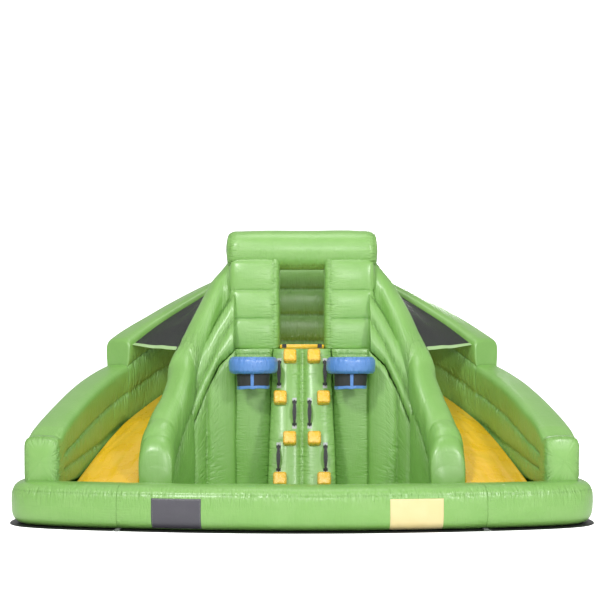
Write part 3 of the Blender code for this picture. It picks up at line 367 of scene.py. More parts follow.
@dataclass
class Skin:
    """A grid of points run along a piece (first axis) and round it (second axis).

    Attributes:
        points: The grid, rows along the piece.
        around: Whether the second axis closes on itself.
        loop: Whether the first axis closes on itself.
        seams: Columns that seams run along.
        bands: Rows that seams run across.
        weight: How strongly each point takes folds.
        sewn: How deep the seams along the piece are at each row.
        lids: How many rows close the first and the last end.
        gather: How gathered each point is by seams along and across, once it is puffed.
    """

    points: Array
    around: bool = True
    loop: bool = False
    seams: tuple = ()
    bands: tuple = ()
    weight: Array | float = 1.0
    sewn: Array | float = 1.0
    lids: tuple[int, int] = (0, 0)
    gather: Array | None = None

    def normals(self) -> Array:
        """Give unit normals that point away from the rows' middles."""
        p = self.points
        if self.loop:
            along = np.roll(p, -1, 0) - np.roll(p, 1, 0)
        else:
            along = np.gradient(p, axis=0)
        if self.around:
            across = np.roll(p, -1, 1) - np.roll(p, 1, 1)
        else:
            across = np.gradient(p, axis=1)
        n = np.cross(along, across)
        return n / np.maximum(np.linalg.norm(n, axis=-1, keepdims=True), 1e-12)

    def outward(self) -> tuple[Array, float]:
        """Give unit normals that point out of the piece, and the sign that turned them."""
        normals = self.normals()
        sign = np.sign(np.sum((self.points - self.points.mean(axis=1, keepdims=True)) * normals))
        return normals * sign, sign

    def lengths(self) -> tuple[Array, Array]:
        """Give the distance along and round for each point."""
        along = np.linalg.norm(np.diff(self.points, axis=0), axis=-1)
        along = joined(np.zeros((1, along.shape[1])), np.cumsum(along, axis=0))
        across = np.linalg.norm(np.diff(self.points, axis=1), axis=-1)
        across = joined(np.zeros((across.shape[0], 1)), np.cumsum(across, axis=1), axis=1)
        return along, across

    def puff(self, puff: Puff) -> Array:
        """Draw the skin in at its seams and fold it beside them.

        Args:
            puff: The creases and folds.

        Returns:
            How near each point is to a seam, from 0 to 1.
        """
        along, across = self.lengths()
        normals = self.outward()[0]
        middle = along.mean(axis=1, keepdims=True)
        shift = puff.sway * noise(middle / 0.42 + 5.3, across / 0.38, puff.seed + 11)
        lines = []
        for number, column in enumerate(self.seams):
            away = np.abs(across - across[:, column:column + 1])
            if self.around:
                gap = np.linalg.norm(self.points[:, 0] - self.points[:, -1], axis=-1)
                away = np.minimum(away, across[:, -1:] + gap[:, None] - away)
            lines.append((0, away, self.sewn, middle, 20 * number))
        for number, row in enumerate(self.bands):
            lines.append((1, np.abs(along - along[row:row + 1]), puff.band, across, 300 + 20 * number))
        near = np.zeros(along.shape)
        self.gather = np.zeros(self.points.shape)
        for axis, away, strength, beside, seed in lines:
            near = np.maximum(near, np.exp(-(away / puff.width) ** 2) * strength)
            pull = np.exp(-away / puff.reach) * strength
            self.gather[..., axis] = np.maximum(self.gather[..., axis], pull)
            shift = shift + puff.fold * puckers(beside, away, puff.pitch, puff.seed + seed) * pull
        for count, way in zip(self.lids, (1, -1)):
            if count:
                lid = self.gather[::way][:count][::-1]
                lid[:] = (lid + FLAT_GATHER) * LID_SPREADS[:count, None, None] ** 3 - FLAT_GATHER
        shift = shift * self.weight - puff.crease * near
        self.points = self.points + normals * shift[..., None]
        return near

    def read(self, rows: Array, columns: Array, lift: float) -> Array:
        """Read the skin at grid places between its points.

        Args:
            rows: Places along, in rows.
            columns: Places round, in columns.
            lift: How far over the skin the points lie.

        Returns:
            The points.
        """
        lifted = self.points + self.outward()[0] * lift
        i = np.clip(rows.astype(int), 0, len(lifted) - 2)
        j = columns.astype(int)
        f, g = (rows - i)[..., None], (columns - j)[..., None]
        count = lifted.shape[1]
        near = lifted[i, j % count] * (1 - g) + lifted[i, (j + 1) % count] * g
        far = lifted[i + 1, j % count] * (1 - g) + lifted[i + 1, (j + 1) % count] * g
        return near * (1 - f) + far * f

    def faces(self) -> tuple[Array, Array, Array]:
        """Give the quads' corners with their rows and columns, unwrapped."""
        rows, columns = self.points.shape[:2]
        last_row = rows if self.loop else rows - 1
        last_column = columns if self.around else columns - 1
        i, j = np.meshgrid(np.arange(last_row), np.arange(last_column), indexing="ij")
        corner_i = np.stack([i, i, i + 1, i + 1], axis=-1).reshape(-1, 4)
        corner_j = np.stack([j, j + 1, j + 1, j], axis=-1).reshape(-1, 4)
        return (corner_i % rows) * columns + corner_j % columns, corner_i, corner_j


def lid_rings(ring: Array, ahead: Array | float = 0.0, dome: float = 0.0,
              spreads: tuple = LID_SPREADS) -> Array:
    """Close a ring with shrinking rings that dome outward.

    Args:
        ring: The last ring of a piece.
        ahead: Unit direction out of the end.
        dome: Height of the dome.
        spreads: Sizes of the closing rings.

    Returns:
        The closing rings, largest first.
    """
    middle = (ring.max(axis=0) + ring.min(axis=0)) / 2
    return np.stack([middle + (ring - middle) * s + ahead * dome * (1 - s * s) for s in spreads])


def capped(rings: Array) -> Array:
    """Close both ends of a flat strip's rings."""
    first, last = (lid_rings(rings[end], spreads=STRIP_SPREADS) for end in (0, -1))
    return joined(first[::-1], rings, last)


def rounded_section(width: float, height: float, power: float, count: int) -> Array:
    """Give a rounded box of a section as rows of reach and height."""
    c, s, _ = circle(count)[1].T
    return np.stack([squared(c, power) * width / 2, (1 + squared(s, power)) * height / 2], axis=-1)


def stacked_section(half: float, low: float, high: float, crown: float, channel: float, channels: int,
                    steps: int = 14, cap_steps: int = 26, power: float = 2.0) -> tuple[Array, tuple]:
    """Give a wall's section of stacked channels under a round crown.

    Args:
        half: Half the wall's thickness.
        low: Height of its foot.
        high: Height of its crest.
        crown: Height of the crown.
        channel: Height of one channel.
        channels: How many channels there are.
        steps: Points on a channel's side.
        cap_steps: Points on the crown.
        power: How square the crown is.

    Returns:
        Rows of reach and height, and the columns of the seams.
    """
    shoulder = high - crown
    seams = [shoulder]
    for k in range(channels - 1):
        drop = channel - (crown if k == 0 else 0)
        seams.append(seams[-1] - min(drop, (seams[-1] - low) / (channels - k)))
    seams = (seams + [low])[::-1]
    side, columns = [], []
    for bottom, top in zip(seams, seams[1:]):
        if bottom > low:
            columns.append(len(side))
        share = np.arange(steps) / steps
        bulge = semi(share if top < shoulder else share / 2)
        side += list(zip(half - SEAM_DEPTH * (1 - bulge), bottom + (top - bottom) * share))
    angle = math.pi * np.arange(cap_steps + 1) / cap_steps
    cap = list(zip(half * squared(np.cos(angle), power), shoulder + crown * squared(np.sin(angle), power)))
    other = [(-reach, up) for reach, up in reversed(side)]
    total = len(side) + len(cap) + len(other)
    return np.array(side + cap + other), (*columns, *(total - 1 - c for c in columns))


def stacked_sections(halves: Array | float, low: float, tops: Array, crown: float,
                     pitches: Array | float, channels: int = 3, **keys) -> tuple[Array, tuple]:
    """Give a stacked section for each row of half thickness, crest and channel height, and their seams."""
    made = [stacked_section(half, low, top, crown, pitch, channels, **keys)
            for half, top, pitch in np.broadcast(halves, tops, pitches)]
    return np.stack([section for section, _ in made]), made[0][1]


class Inputs:
    """Names the sockets that the material groups share."""

    SURFACE = "Surface"
    SEAM = "Seam"
    GATHER = "Gather"


# Heights in metres, cords of the net in each metre and their share of its width
WEAVE_HEIGHT = 0.0004
FOLD_HEIGHT = 0.022
COAT_ROUGHNESS = 0.24
NET = "black_net"
NET_CORDS = 125.0
NET_CORD_SHARE = 0.4


@dataclass(frozen=True)
class Finish:
    """A coated fabric, webbing, net or metal.

    Attributes:
        name: The material's name.
        slot: The record's material slot that it belongs to.
        colour: Base colour, linear.
        deep: Painted shade colour for the creases at seams, linear.
        pale: Colour on worn and stretched places, linear.
        roughness: Roughness of the surface.
        coat: Weight of the clear coat.
        weave: Height of the weave.
        fold: Height of the fine folds.
        metallic: Whether it is bare metal.
        sheen: Weight of the cloth sheen.
        gloss: Strength of the base reflection.
    """

    name: str
    slot: str
    colour: tuple
    deep: tuple
    pale: tuple
    roughness: float = 0.46
    coat: float = 0.4
    weave: float = 0.25
    fold: float = 0.35
    metallic: float = 0.0
    sheen: float = 0.0
    gloss: float = 0.8


# Each finish's second colour is painted shade, laid into the creases along its seams
GREEN = Finish("green_vinyl", "green_coated_fabric", (0.2, 0.43, 0.088), (0.115, 0.3, 0.03),
               (0.28, 0.507, 0.15), roughness=0.4, fold=1.1)
HEM = Finish("pale_green_hem", "green_coated_fabric", (0.36, 0.56, 0.24), (0.25, 0.42, 0.15),
             (0.5, 0.66, 0.38), roughness=0.6, coat=0.0, weave=0.5, fold=0.2)
INNER_GREEN = Finish("green_vinyl_bed", "green_coated_fabric", (0.195, 0.44, 0.08), (0.11, 0.31, 0.03),
                     (0.25, 0.46, 0.13), fold=0.7)
YELLOW = Finish("yellow_vinyl", "yellow_coated_fabric", (0.86, 0.5, 0.012), (0.68, 0.31, 0.004),
                (0.93, 0.66, 0.12), roughness=0.27, fold=1.35)
BLUE = Finish("blue_vinyl", "blue_coated_fabric", (0.075, 0.23, 0.6), (0.03, 0.1, 0.34),
              (0.15, 0.35, 0.72), roughness=0.36, fold=1.0)
WEBBING = Finish("black_webbing", "black_webbing", (0.018, 0.018, 0.02), (0.006, 0.006, 0.007),
                 (0.05, 0.05, 0.055), roughness=0.75, coat=0.0, weave=1.0, fold=0.1, sheen=0.15)
PATCH = Finish("dark_patch", "black_webbing", (0.06, 0.056, 0.072), (0.04, 0.04, 0.05),
               (0.08, 0.078, 0.095), roughness=0.45, coat=0.1, fold=0.3)
LABEL = Finish("pale_patch", "yellow_coated_fabric", (0.75, 0.63, 0.3), (0.6, 0.46, 0.2),
               (0.85, 0.75, 0.45), roughness=0.4, coat=0.1, fold=0.3)
THREAD = Finish("pale_thread", "black_webbing", (0.45, 0.5, 0.42), (0.3, 0.34, 0.28),
                (0.6, 0.64, 0.58), roughness=0.8, coat=0.0, fold=0.1)
TAG = Finish("pale_tag", "black_webbing", (0.5, 0.53, 0.52), (0.35, 0.37, 0.36),
             (0.65, 0.67, 0.66), roughness=0.6, coat=0.0)
GROUND = Finish("ground_sheet", "ground_sheet_plastic", (0.012, 0.012, 0.013), (0.006, 0.006, 0.006),
                (0.03, 0.03, 0.03), roughness=0.5, coat=0.0, fold=0.4)
STEEL = Finish("bare_steel", "bare_steel", (0.56, 0.57, 0.58), (0.4, 0.4, 0.41),
               (0.7, 0.7, 0.71), roughness=0.28, coat=0.0, weave=0.0, fold=0.0, metallic=1.0)


def feed(tree: bpy.types.NodeTree, node: bpy.types.Node, sockets: dict) -> None:
    """Set a node's inputs, or link them where a value is itself a socket.

    Args:
        tree: The node tree.
        node: The node.
        sockets: For each input, its value or the socket to link.
    """
    for name, value in sockets.items():
        if isinstance(value, bpy.types.NodeSocket):
            tree.links.new(value, node.inputs[name])
        else:
            node.inputs[name].default_value = value


def add_node(tree: bpy.types.NodeTree, kind: str, sockets: dict, **settings) -> bpy.types.Node:
    """Add a node.

    Args:
        tree: The node tree.
        kind: The node's type.
        sockets: For each input, its value or the socket to link.
        settings: Properties of the node, set before its inputs.

    Returns:
        The node.
    """
    node = tree.nodes.new(kind)
    for name, value in settings.items():
        setattr(node, name, value)
    feed(tree, node, sockets)
    return node


def new_tree(kind: str, name: str, given: dict[str, str], made: dict[str, str]) -> tuple:
    """Make an empty node group with its sockets.

    Args:
        kind: Shader or Geometry.
        name: The group's name.
        given: For each input, its kind of socket.
        made: For each output, its kind of socket.

    Returns:
        The group, the sockets of its input node and its output node.
    """
    tree = bpy.data.node_groups.new(name, f"{kind}NodeTree")
    for way, sockets in (("INPUT", given), ("OUTPUT", made)):
        for socket, socket_kind in sockets.items():
            tree.interface.new_socket(socket, in_out=way, socket_type=f"NodeSocket{socket_kind}")
    return tree, tree.nodes.new("NodeGroupInput").outputs, tree.nodes.new("NodeGroupOutput")


def math_node(tree: bpy.types.NodeTree, operation: str, *values) -> bpy.types.NodeSocket:
    """Add a math node on numbers or sockets and give its result."""
    return add_node(tree, "ShaderNodeMath", dict(enumerate(values)), operation=operation).outputs[0]


def noise_node(tree: bpy.types.NodeTree, vector: bpy.types.NodeSocket, scale: float, detail: float,
               stretch: tuple = (1.0, 1.0, 1.0)) -> bpy.types.NodeSocket:
    """Add a noise over a stretched surface vector and give its value."""
    mapping = add_node(tree, "ShaderNodeMapping", {"Vector": vector, "Scale": stretch})
    sockets = {"Vector": mapping.outputs[0], "Scale": scale, "Detail": detail}
    return add_node(tree, "ShaderNodeTexNoise", sockets).outputs[0]


def weave_group() -> bpy.types.ShaderNodeTree:
    """Make the group that gives the height of a plain weave, threads 2.5 mm apart."""
    group, given, end = new_tree("Shader", "plain_weave", {Inputs.SURFACE: "Vector"}, {"Height": "Float"})
    sockets = {"Vector": given[Inputs.SURFACE], "Scale": 62.0, "Distortion": 0.4, "Detail": 1.0}
    waves = (add_node(group, "ShaderNodeTexWave", sockets, bands_direction=way) for way in "XY")
    feed(group, end, {"Height": math_node(group, "MULTIPLY", *(wave.outputs["Fac"] for wave in waves))})
    return group


def fold_group() -> bpy.types.ShaderNodeTree:
    """Make the group that gives fine folds, stronger where the seams gather the fabric."""
    group, given, end = new_tree("Shader", "fine_folds", {Inputs.SURFACE: "Vector", Inputs.GATHER: "Vector"},
                                 {"Height": "Float", "Mask": "Float"})
    surface = given[Inputs.SURFACE]
    split = add_node(group, "ShaderNodeSeparateXYZ", {0: given[Inputs.GATHER]})
    broad = noise_node(group, surface, 3.5, 3.0)
    height = math_node(group, "MULTIPLY", broad, 0.3)
    for axis, stretch in (("X", (1.0, 0.2, 1.0)), ("Y", (0.2, 1.0, 1.0))):
        folds = noise_node(group, surface, 24.0, 4.0, stretch)
        ridge = math_node(group, "ABSOLUTE", math_node(group, "SUBTRACT", folds, 0.5))
        pull = math_node(group, "MULTIPLY_ADD", split.outputs[axis], 2.0, 0.15)
        height = math_node(group, "ADD", math_node(group, "MULTIPLY", ridge, pull), height)
    feed(group, end, {"Height": height, "Mask": broad})
    return group


def tone_group() -> bpy.types.ShaderNodeTree:
    """Make the group that mixes a fabric's colours by its unevenness and wear, with painted shade in the
    creases at seams.
    """
    group, given, end = new_tree(
        "Shader", "fabric_tone",
        {"Base": "Color", "Crease Shade": "Color", "Pale": "Color", Inputs.SURFACE: "Vector", Inputs.SEAM: "Float",
         "Mask": "Float"},
        {"Colour": "Color", "Roughness": "Float"})
    uneven = math_node(group, "MULTIPLY", math_node(group, "SUBTRACT", given["Mask"], 0.42), 1.1)
    scuffs = noise_node(group, given[Inputs.SURFACE], 42.0, 6.0, (1.0, 0.35, 1.0))
    scuffed = math_node(group, "MULTIPLY", math_node(group, "GREATER_THAN", scuffs, 0.68), 0.12)
    worn = math_node(group, "ADD", math_node(group, "MAXIMUM", uneven, 0.0), scuffed)
    # Painted shade: the deep colour darkens the creases near seams
    painted_crease_shade = math_node(group, "MULTIPLY", given[Inputs.SEAM], 0.3)
    colour = given["Base"]
    for factor, other in ((worn, "Pale"), (painted_crease_shade, "Crease Shade")):
        sockets = {"Factor": factor, "A": colour, "B": given[other]}
        colour = add_node(group, "ShaderNodeMix", sockets, data_type="RGBA").outputs["Result"]
    rougher = math_node(group, "MULTIPLY_ADD", given["Mask"], 0.16, -0.07)
    feed(group, end, {"Colour": colour, "Roughness": rougher})
    return group


def new_material(name: str, colour: tuple) -> tuple[bpy.types.Material, bpy.types.Node]:
    """Make a material.

    Args:
        name: The material's name.
        colour: Its colour in the viewport.

    Returns:
        The material and its shader.
    """
    material = bpy.data.materials.new(name)
    material.use_nodes = True
    material.diffuse_color = (*colour, 1.0)
    return material, material.node_tree.nodes["Principled BSDF"]


class Materials:
    """Makes each finish once, with the groups that all share."""

    def __init__(self) -> None:
        """Make the shared groups."""
        self.weave = weave_group()
        self.folds = fold_group()
        self.tone = tone_group()
        self.made: dict[str, bpy.types.Material] = {}

    def get(self, finish: Finish | None, solid: bool = False) -> bpy.types.Material:
        """Give the material of a finish, made at first use.

        Args:
            finish: The finish, or None for the net.
            solid: Whether it goes on a CAD solid.

        Returns:
            The material.
        """
        name = f"{finish.name if finish else NET}{'_solid' if solid else ''}"
        if name not in self.made:
            self.made[name] = self.build(finish, solid) if finish else self.net()
        return self.made[name]

    def surface(self, tree: bpy.types.NodeTree, solid: bool) -> tuple:
        """Add the nodes that read the surface's metres, its seams and its gathering.

        Args:
            tree: The material's nodes.
            solid: Whether the piece is a CAD solid, which has no metres and reads its own coordinates.

        Returns:
            The three sockets.
        """
        if solid:
            metres = add_node(tree, "ShaderNodeTexCoord", {}).outputs["Object"]
        else:
            metres = add_node(tree, "ShaderNodeUVMap", {}, uv_map="metres").outputs["UV"]
        seam = add_node(tree, "ShaderNodeAttribute", {}, attribute_name="seam")
        gather = add_node(tree, "ShaderNodeAttribute", {}, attribute_name="gather")
        return metres, seam.outputs["Fac"], gather.outputs["Vector"]

    def build(self, finish: Finish, solid: bool) -> bpy.types.Material:
        """Build one fabric or metal material.

        Args:
            finish: The finish.
            solid: Whether it goes on a CAD solid.

        Returns:
            The material.
        """
        material, shader = new_material(finish.name, finish.colour)
        tree = material.node_tree
        surface, seam, gather = self.surface(tree, solid)
        folds = add_node(tree, "ShaderNodeGroup", {Inputs.SURFACE: surface, Inputs.GATHER: gather},
                         node_tree=self.folds)
        # The second colour is the painted shade for the creases at seams
        colours = {"Base": (*finish.colour, 1.0), "Crease Shade": (*finish.deep, 1.0), "Pale": (*finish.pale, 1.0)}
        places = {Inputs.SURFACE: surface, Inputs.SEAM: seam, "Mask": folds.outputs["Mask"]}
        tone = add_node(tree, "ShaderNodeGroup", colours | places, node_tree=self.tone)
        weave = add_node(tree, "ShaderNodeGroup", {Inputs.SURFACE: surface}, node_tree=self.weave)
        fine = add_node(tree, "ShaderNodeBump", {
            "Strength": finish.weave, "Distance": WEAVE_HEIGHT, "Height": weave.outputs["Height"]})
        broad = add_node(tree, "ShaderNodeBump", {
            "Strength": 1.0, "Distance": FOLD_HEIGHT * finish.fold, "Height": folds.outputs["Height"],
            "Normal": fine.outputs[0]})
        feed(tree, shader, {
            "Metallic": finish.metallic, "Coat Weight": finish.coat, "Coat Roughness": COAT_ROUGHNESS,
            "Specular IOR Level": finish.gloss, "Sheen Weight": finish.sheen, "Normal": broad.outputs[0],
            "Base Color": tone.outputs["Colour"],
            "Roughness": math_node(tree, "ADD", tone.outputs["Roughness"], finish.roughness)})
        return material

    def net(self) -> bpy.types.Material:
        """Make the black netting, its holes cut by a mask over the surface's metres."""
        material, shader = new_material(NET, (0.02, 0.02, 0.022))
        tree = material.node_tree
        split = add_node(tree, "ShaderNodeSeparateXYZ", {0: self.surface(tree, False)[0]})
        cords = []
        for axis in "XY":
            cell = math_node(tree, "FRACT", math_node(tree, "MULTIPLY", split.outputs[axis], NET_CORDS))
            cords.append(math_node(tree, "LESS_THAN", cell, NET_CORD_SHARE))
        feed(tree, shader, {"Base Color": (0.045, 0.048, 0.047, 1.0), "Roughness": 0.7,
                            "Alpha": math_node(tree, "MAXIMUM", *cords)})
        return material


def add_object(name: str, data: bpy.types.ID) -> bpy.types.Object:
    """Make an object and put it in the scene."""
    made = bpy.data.objects.new(name, data)
    bpy.context.scene.collection.objects.link(made)
    return made


def mesh_piece(name: str, skin: Skin, near: Array | None = None) -> bpy.types.Object:
    """Make an object from a skin, with its metres and its seams.

    Args:
        name: The piece's name.
        skin: The grid of points.
        near: How near each point is to a seam.

    Returns:
        The object.
    """
    rows, columns = skin.points.shape[:2]
    quads, corner_i, corner_j = skin.faces()
    along = np.linalg.norm(np.diff(skin.points, axis=0), axis=-1).mean(axis=1)
    u = joined([0], np.cumsum(along), [np.sum(along) + (along.mean() if len(along) else 0)])
    ring = np.linalg.norm(np.roll(skin.points, -1, 1) - skin.points, axis=-1).mean(axis=0)
    v = joined([0], np.cumsum(ring))
    mesh = bpy.data.meshes.new(name)
    points = skin.points.reshape(-1, 3)
    inward = skin.outward()[1] < 0
    if inward:
        quads, corner_i, corner_j = quads[:, ::-1], corner_i[:, ::-1], corner_j[:, ::-1]
    lids = []
    if skin.around and not skin.loop:
        first, last = np.arange(columns), np.arange(columns) + (rows - 1) * columns
        lids = [first, last[::-1]] if inward else [first[::-1], last]
    loops = joined(quads.reshape(-1), *lids).astype(np.int32)
    totals = joined(np.full(len(quads), 4), [len(lid) for lid in lids]).astype(np.int32)
    mesh.vertices.add(len(points))
    mesh.vertices.foreach_set("co", points.astype(np.float32).reshape(-1))
    mesh.loops.add(len(loops))
    mesh.loops.foreach_set("vertex_index", loops)
    mesh.polygons.add(len(totals))
    mesh.polygons.foreach_set("loop_start", joined([0], np.cumsum(totals)[:-1]).astype(np.int32))
    mesh.polygons.foreach_set("loop_total", totals)
    mesh.update(calc_edges=True)
    uv = np.stack([u[corner_i], v[corner_j]], axis=-1).reshape(-1, 2)
    uv = joined(uv, *(np.stack([u[lid // columns], v[lid % columns]], axis=-1) for lid in lids))
    layer = mesh.uv_layers.new(name="metres")
    layer.data.foreach_set("uv", uv.astype(np.float32).reshape(-1))
    # Nearness to seams, which also places the painted shade in the creases
    seam = mesh.attributes.new("seam", "FLOAT", "POINT")
    values = np.zeros(len(points)) if near is None else near.reshape(-1)
    seam.data.foreach_set("value", values.astype(np.float32))
    if skin.gather is not None:
        gather = mesh.attributes.new("gather", "FLOAT_VECTOR", "POINT")
        gather.data.foreach_set("vector", skin.gather.astype(np.float32).reshape(-1))
    mesh.polygons.foreach_set("use_smooth", np.ones(len(totals), bool))
    mesh.validate()
    return add_object(name, mesh)


class Repeat:
    """Sets copies of one small shape on points, with Geometry Nodes."""

    def place(self, name: str, spots: Array, ahead: Array, size: tuple[float, float, float],
              block: bool = False) -> bpy.types.Object:
        """Set the copies and make them a plain mesh.

        Args:
            name: The piece's name.
            spots: The points.
            ahead: The direction that each copy's length lies in.
            size: Length, width and height of a copy.
            block: Whether the copies are blocks and not beads.

        Returns:
            The piece.
        """
        mesh = bpy.data.meshes.new(f"{name}_spots")
        mesh.from_pydata([tuple(p) for p in spots.reshape(-1, 3)], [], [])
        turn = mesh.attributes.new("ahead", "FLOAT_VECTOR", "POINT")
        turn.data.foreach_set("vector", ahead.astype(np.float32).reshape(-1))
        holder = add_object(f"{name}_spots", mesh)
        tree, given, end = new_tree("Geometry", f"{name}_repeat", {"Geometry": "Geometry", "Size": "Vector"},
                                    {"Geometry": "Geometry"})
        if block:
            shape = add_node(tree, "GeometryNodeMeshCube", {})
        else:
            shape = add_node(tree, "GeometryNodeMeshUVSphere", {"Segments": 8, "Rings": 5, "Radius": 0.5})
        named = add_node(tree, "GeometryNodeInputNamedAttribute", {"Name": "ahead"}, data_type="FLOAT_VECTOR")
        align = add_node(tree, "FunctionNodeAlignRotationToVector", {"Vector": named.outputs["Attribute"]},
                         axis="X")
        copies = add_node(tree, "GeometryNodeInstanceOnPoints", {
            "Points": given["Geometry"], "Instance": shape.outputs["Mesh"],
            "Rotation": align.outputs["Rotation"], "Scale": given["Size"]})
        real = add_node(tree, "GeometryNodeRealizeInstances", {"Geometry": copies.outputs["Instances"]})
        finish = add_node(tree, "GeometryNodeSetMaterial", {"Geometry": real.outputs["Geometry"]})
        feed(tree, end, {"Geometry": finish.outputs["Geometry"]})
        modifier = holder.modifiers.new("repeat", "NODES")
        modifier.node_group = tree
        modifier[tree.interface.items_tree["Size"].identifier] = size
        graph = bpy.context.evaluated_depsgraph_get()
        made = bpy.data.meshes.new_from_object(holder.evaluated_get(graph), depsgraph=graph)
        made.name = name
        made.materials.clear()
        bpy.data.objects.remove(holder)
        return add_object(name, made)


def stitched(line: Array, pitch: float) -> tuple[Array, Array]:
    """Spread stitches along a line.

    Args:
        line: The line's points.
        pitch: Spacing of the stitches.

    Returns:
        The middle and the direction of each.
    """
    length = travel(line)
    count = max(2, int(length[-1] / pitch))
    spots = (np.arange(count) + 0.5) / count * length[-1]

    def at(where: Array) -> Array:
        """Read the line at distances along it."""
        where = np.clip(where, 0, length[-1])
        return np.stack([np.interp(where, length, line[:, k]) for k in range(3)], axis=-1)

    ahead = at(spots + pitch / 4) - at(spots - pitch / 4)
    return at(spots), unit(ahead)


@dataclass
class Dresser:
    """Gives each piece its material, its body and the nodes it stands for, and sews."""

    materials: Materials
    repeat: Repeat

    def dress(self, piece: bpy.types.Object, finish: Finish | None, *nodes: str, body: str = "slide",
              fill: float | None = None) -> bpy.types.Object:
        """Dress a piece and hang it on its body.

        Args:
            piece: The object.
            finish: Its finish, or None for the net.
            nodes: The nodes that it stands for.
            body: The body that it rides on.
            fill: How full a padded piece is. Not used.

        Returns:
            The piece.
        """
        piece.data.materials.append(self.materials.get(finish))
        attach(piece, body)
        if nodes:
            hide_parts(*nodes)
        LOG.info("%s on %s, %d faces", piece.name, body, len(piece.data.polygons))
        return piece

    def skin(self, name: str, skin: Skin, finish: Finish | None, *nodes: str, near: Array | None = None,
             **keys) -> bpy.types.Object:
        """Make a skin's object and dress it, with the words of dress."""
        return self.dress(mesh_piece(name, skin, near), finish, *nodes, **keys)

    def filled(self, node: str, skin: Skin, finish: Finish, fill: float, near: Array | None = None) -> None:
        """Dress a skin as a padded piece that stands for its node."""
        self.skin(f"{node}_skin", skin, finish, node, near=near, fill=fill)

    def padded(self, node: str, skin: Skin, puff: Puff, finish: Finish = GREEN, fill: float = 0.85) -> None:
        """Puff a skin and dress it as an inflated chamber.

        Args:
            node: The node that it stands for.
            skin: Its grid of points.
            puff: Its creases and folds.
            finish: Its finish.
            fill: How full it is.
        """
        near = skin.puff(puff)
        self.filled(node, skin, finish, fill, near)

    def sew(self, name: str, routes: list, pitch: float, size: tuple, finish: Finish = THREAD,
            body: str = "slide") -> None:
        """Sew rows of stitches.

        Args:
            name: The piece's name.
            routes: The lines that the rows follow.
            pitch: Spacing of the stitches.
            size: Length, width and height of one.
            finish: The thread's finish.
            body: The body that they ride on.
        """
        spots, ahead = (joined(*part) for part in zip(*(stitched(route, pitch) for route in routes)))
        self.dress(self.repeat.place(name, spots, ahead, size), finish, body=body)


@dataclass
class Part:
    """A sub-assembly of the slide, with what finishes its pieces."""

    dresser: Dresser


def outline() -> Array:
    """Give the fine outer edge of the base, front middle to back middle."""
    points = plan(OUTLINE)
    return curve_through(points, ends=(points[1] * (-1, 1), points[-2] * (-1, 1)))


def inset(path: Array, distance: float) -> Array:
    """Move a plan path inward from the outer edge."""
    run = np.gradient(path, axis=0)
    run[0], run[-1] = (1, 0), (-1, 0)
    return path - quarter_turn(unit(run)) * distance


def to_platform(table: tuple) -> Array:
    """Run a fine curve through a table of shares and on to the platform's side."""
    points = plan(table)
    points[-1, 0] = PLATFORM_HALF
    return curve_through(points)


def wall_top(share: Array, upper: bool) -> Array:
    """Give the outer wall's height at shares of its length."""
    if upper:
        return 1.92 + 0.94 * (share - WALL_STEP) / (1 - WALL_STEP)
    return 0.9 + 0.72 * ramp(share, WALL_STEP) ** 0.93


def wing_top(share: Array) -> Array:
    """Give the wing's height at shares of its length."""
    return HEIGHT * table_at(WING_TOPS, share)


def wing_half(share: Array) -> Array:
    """Give half the wing's thickness at shares of its length."""
    return 0.19 - 0.06 * share


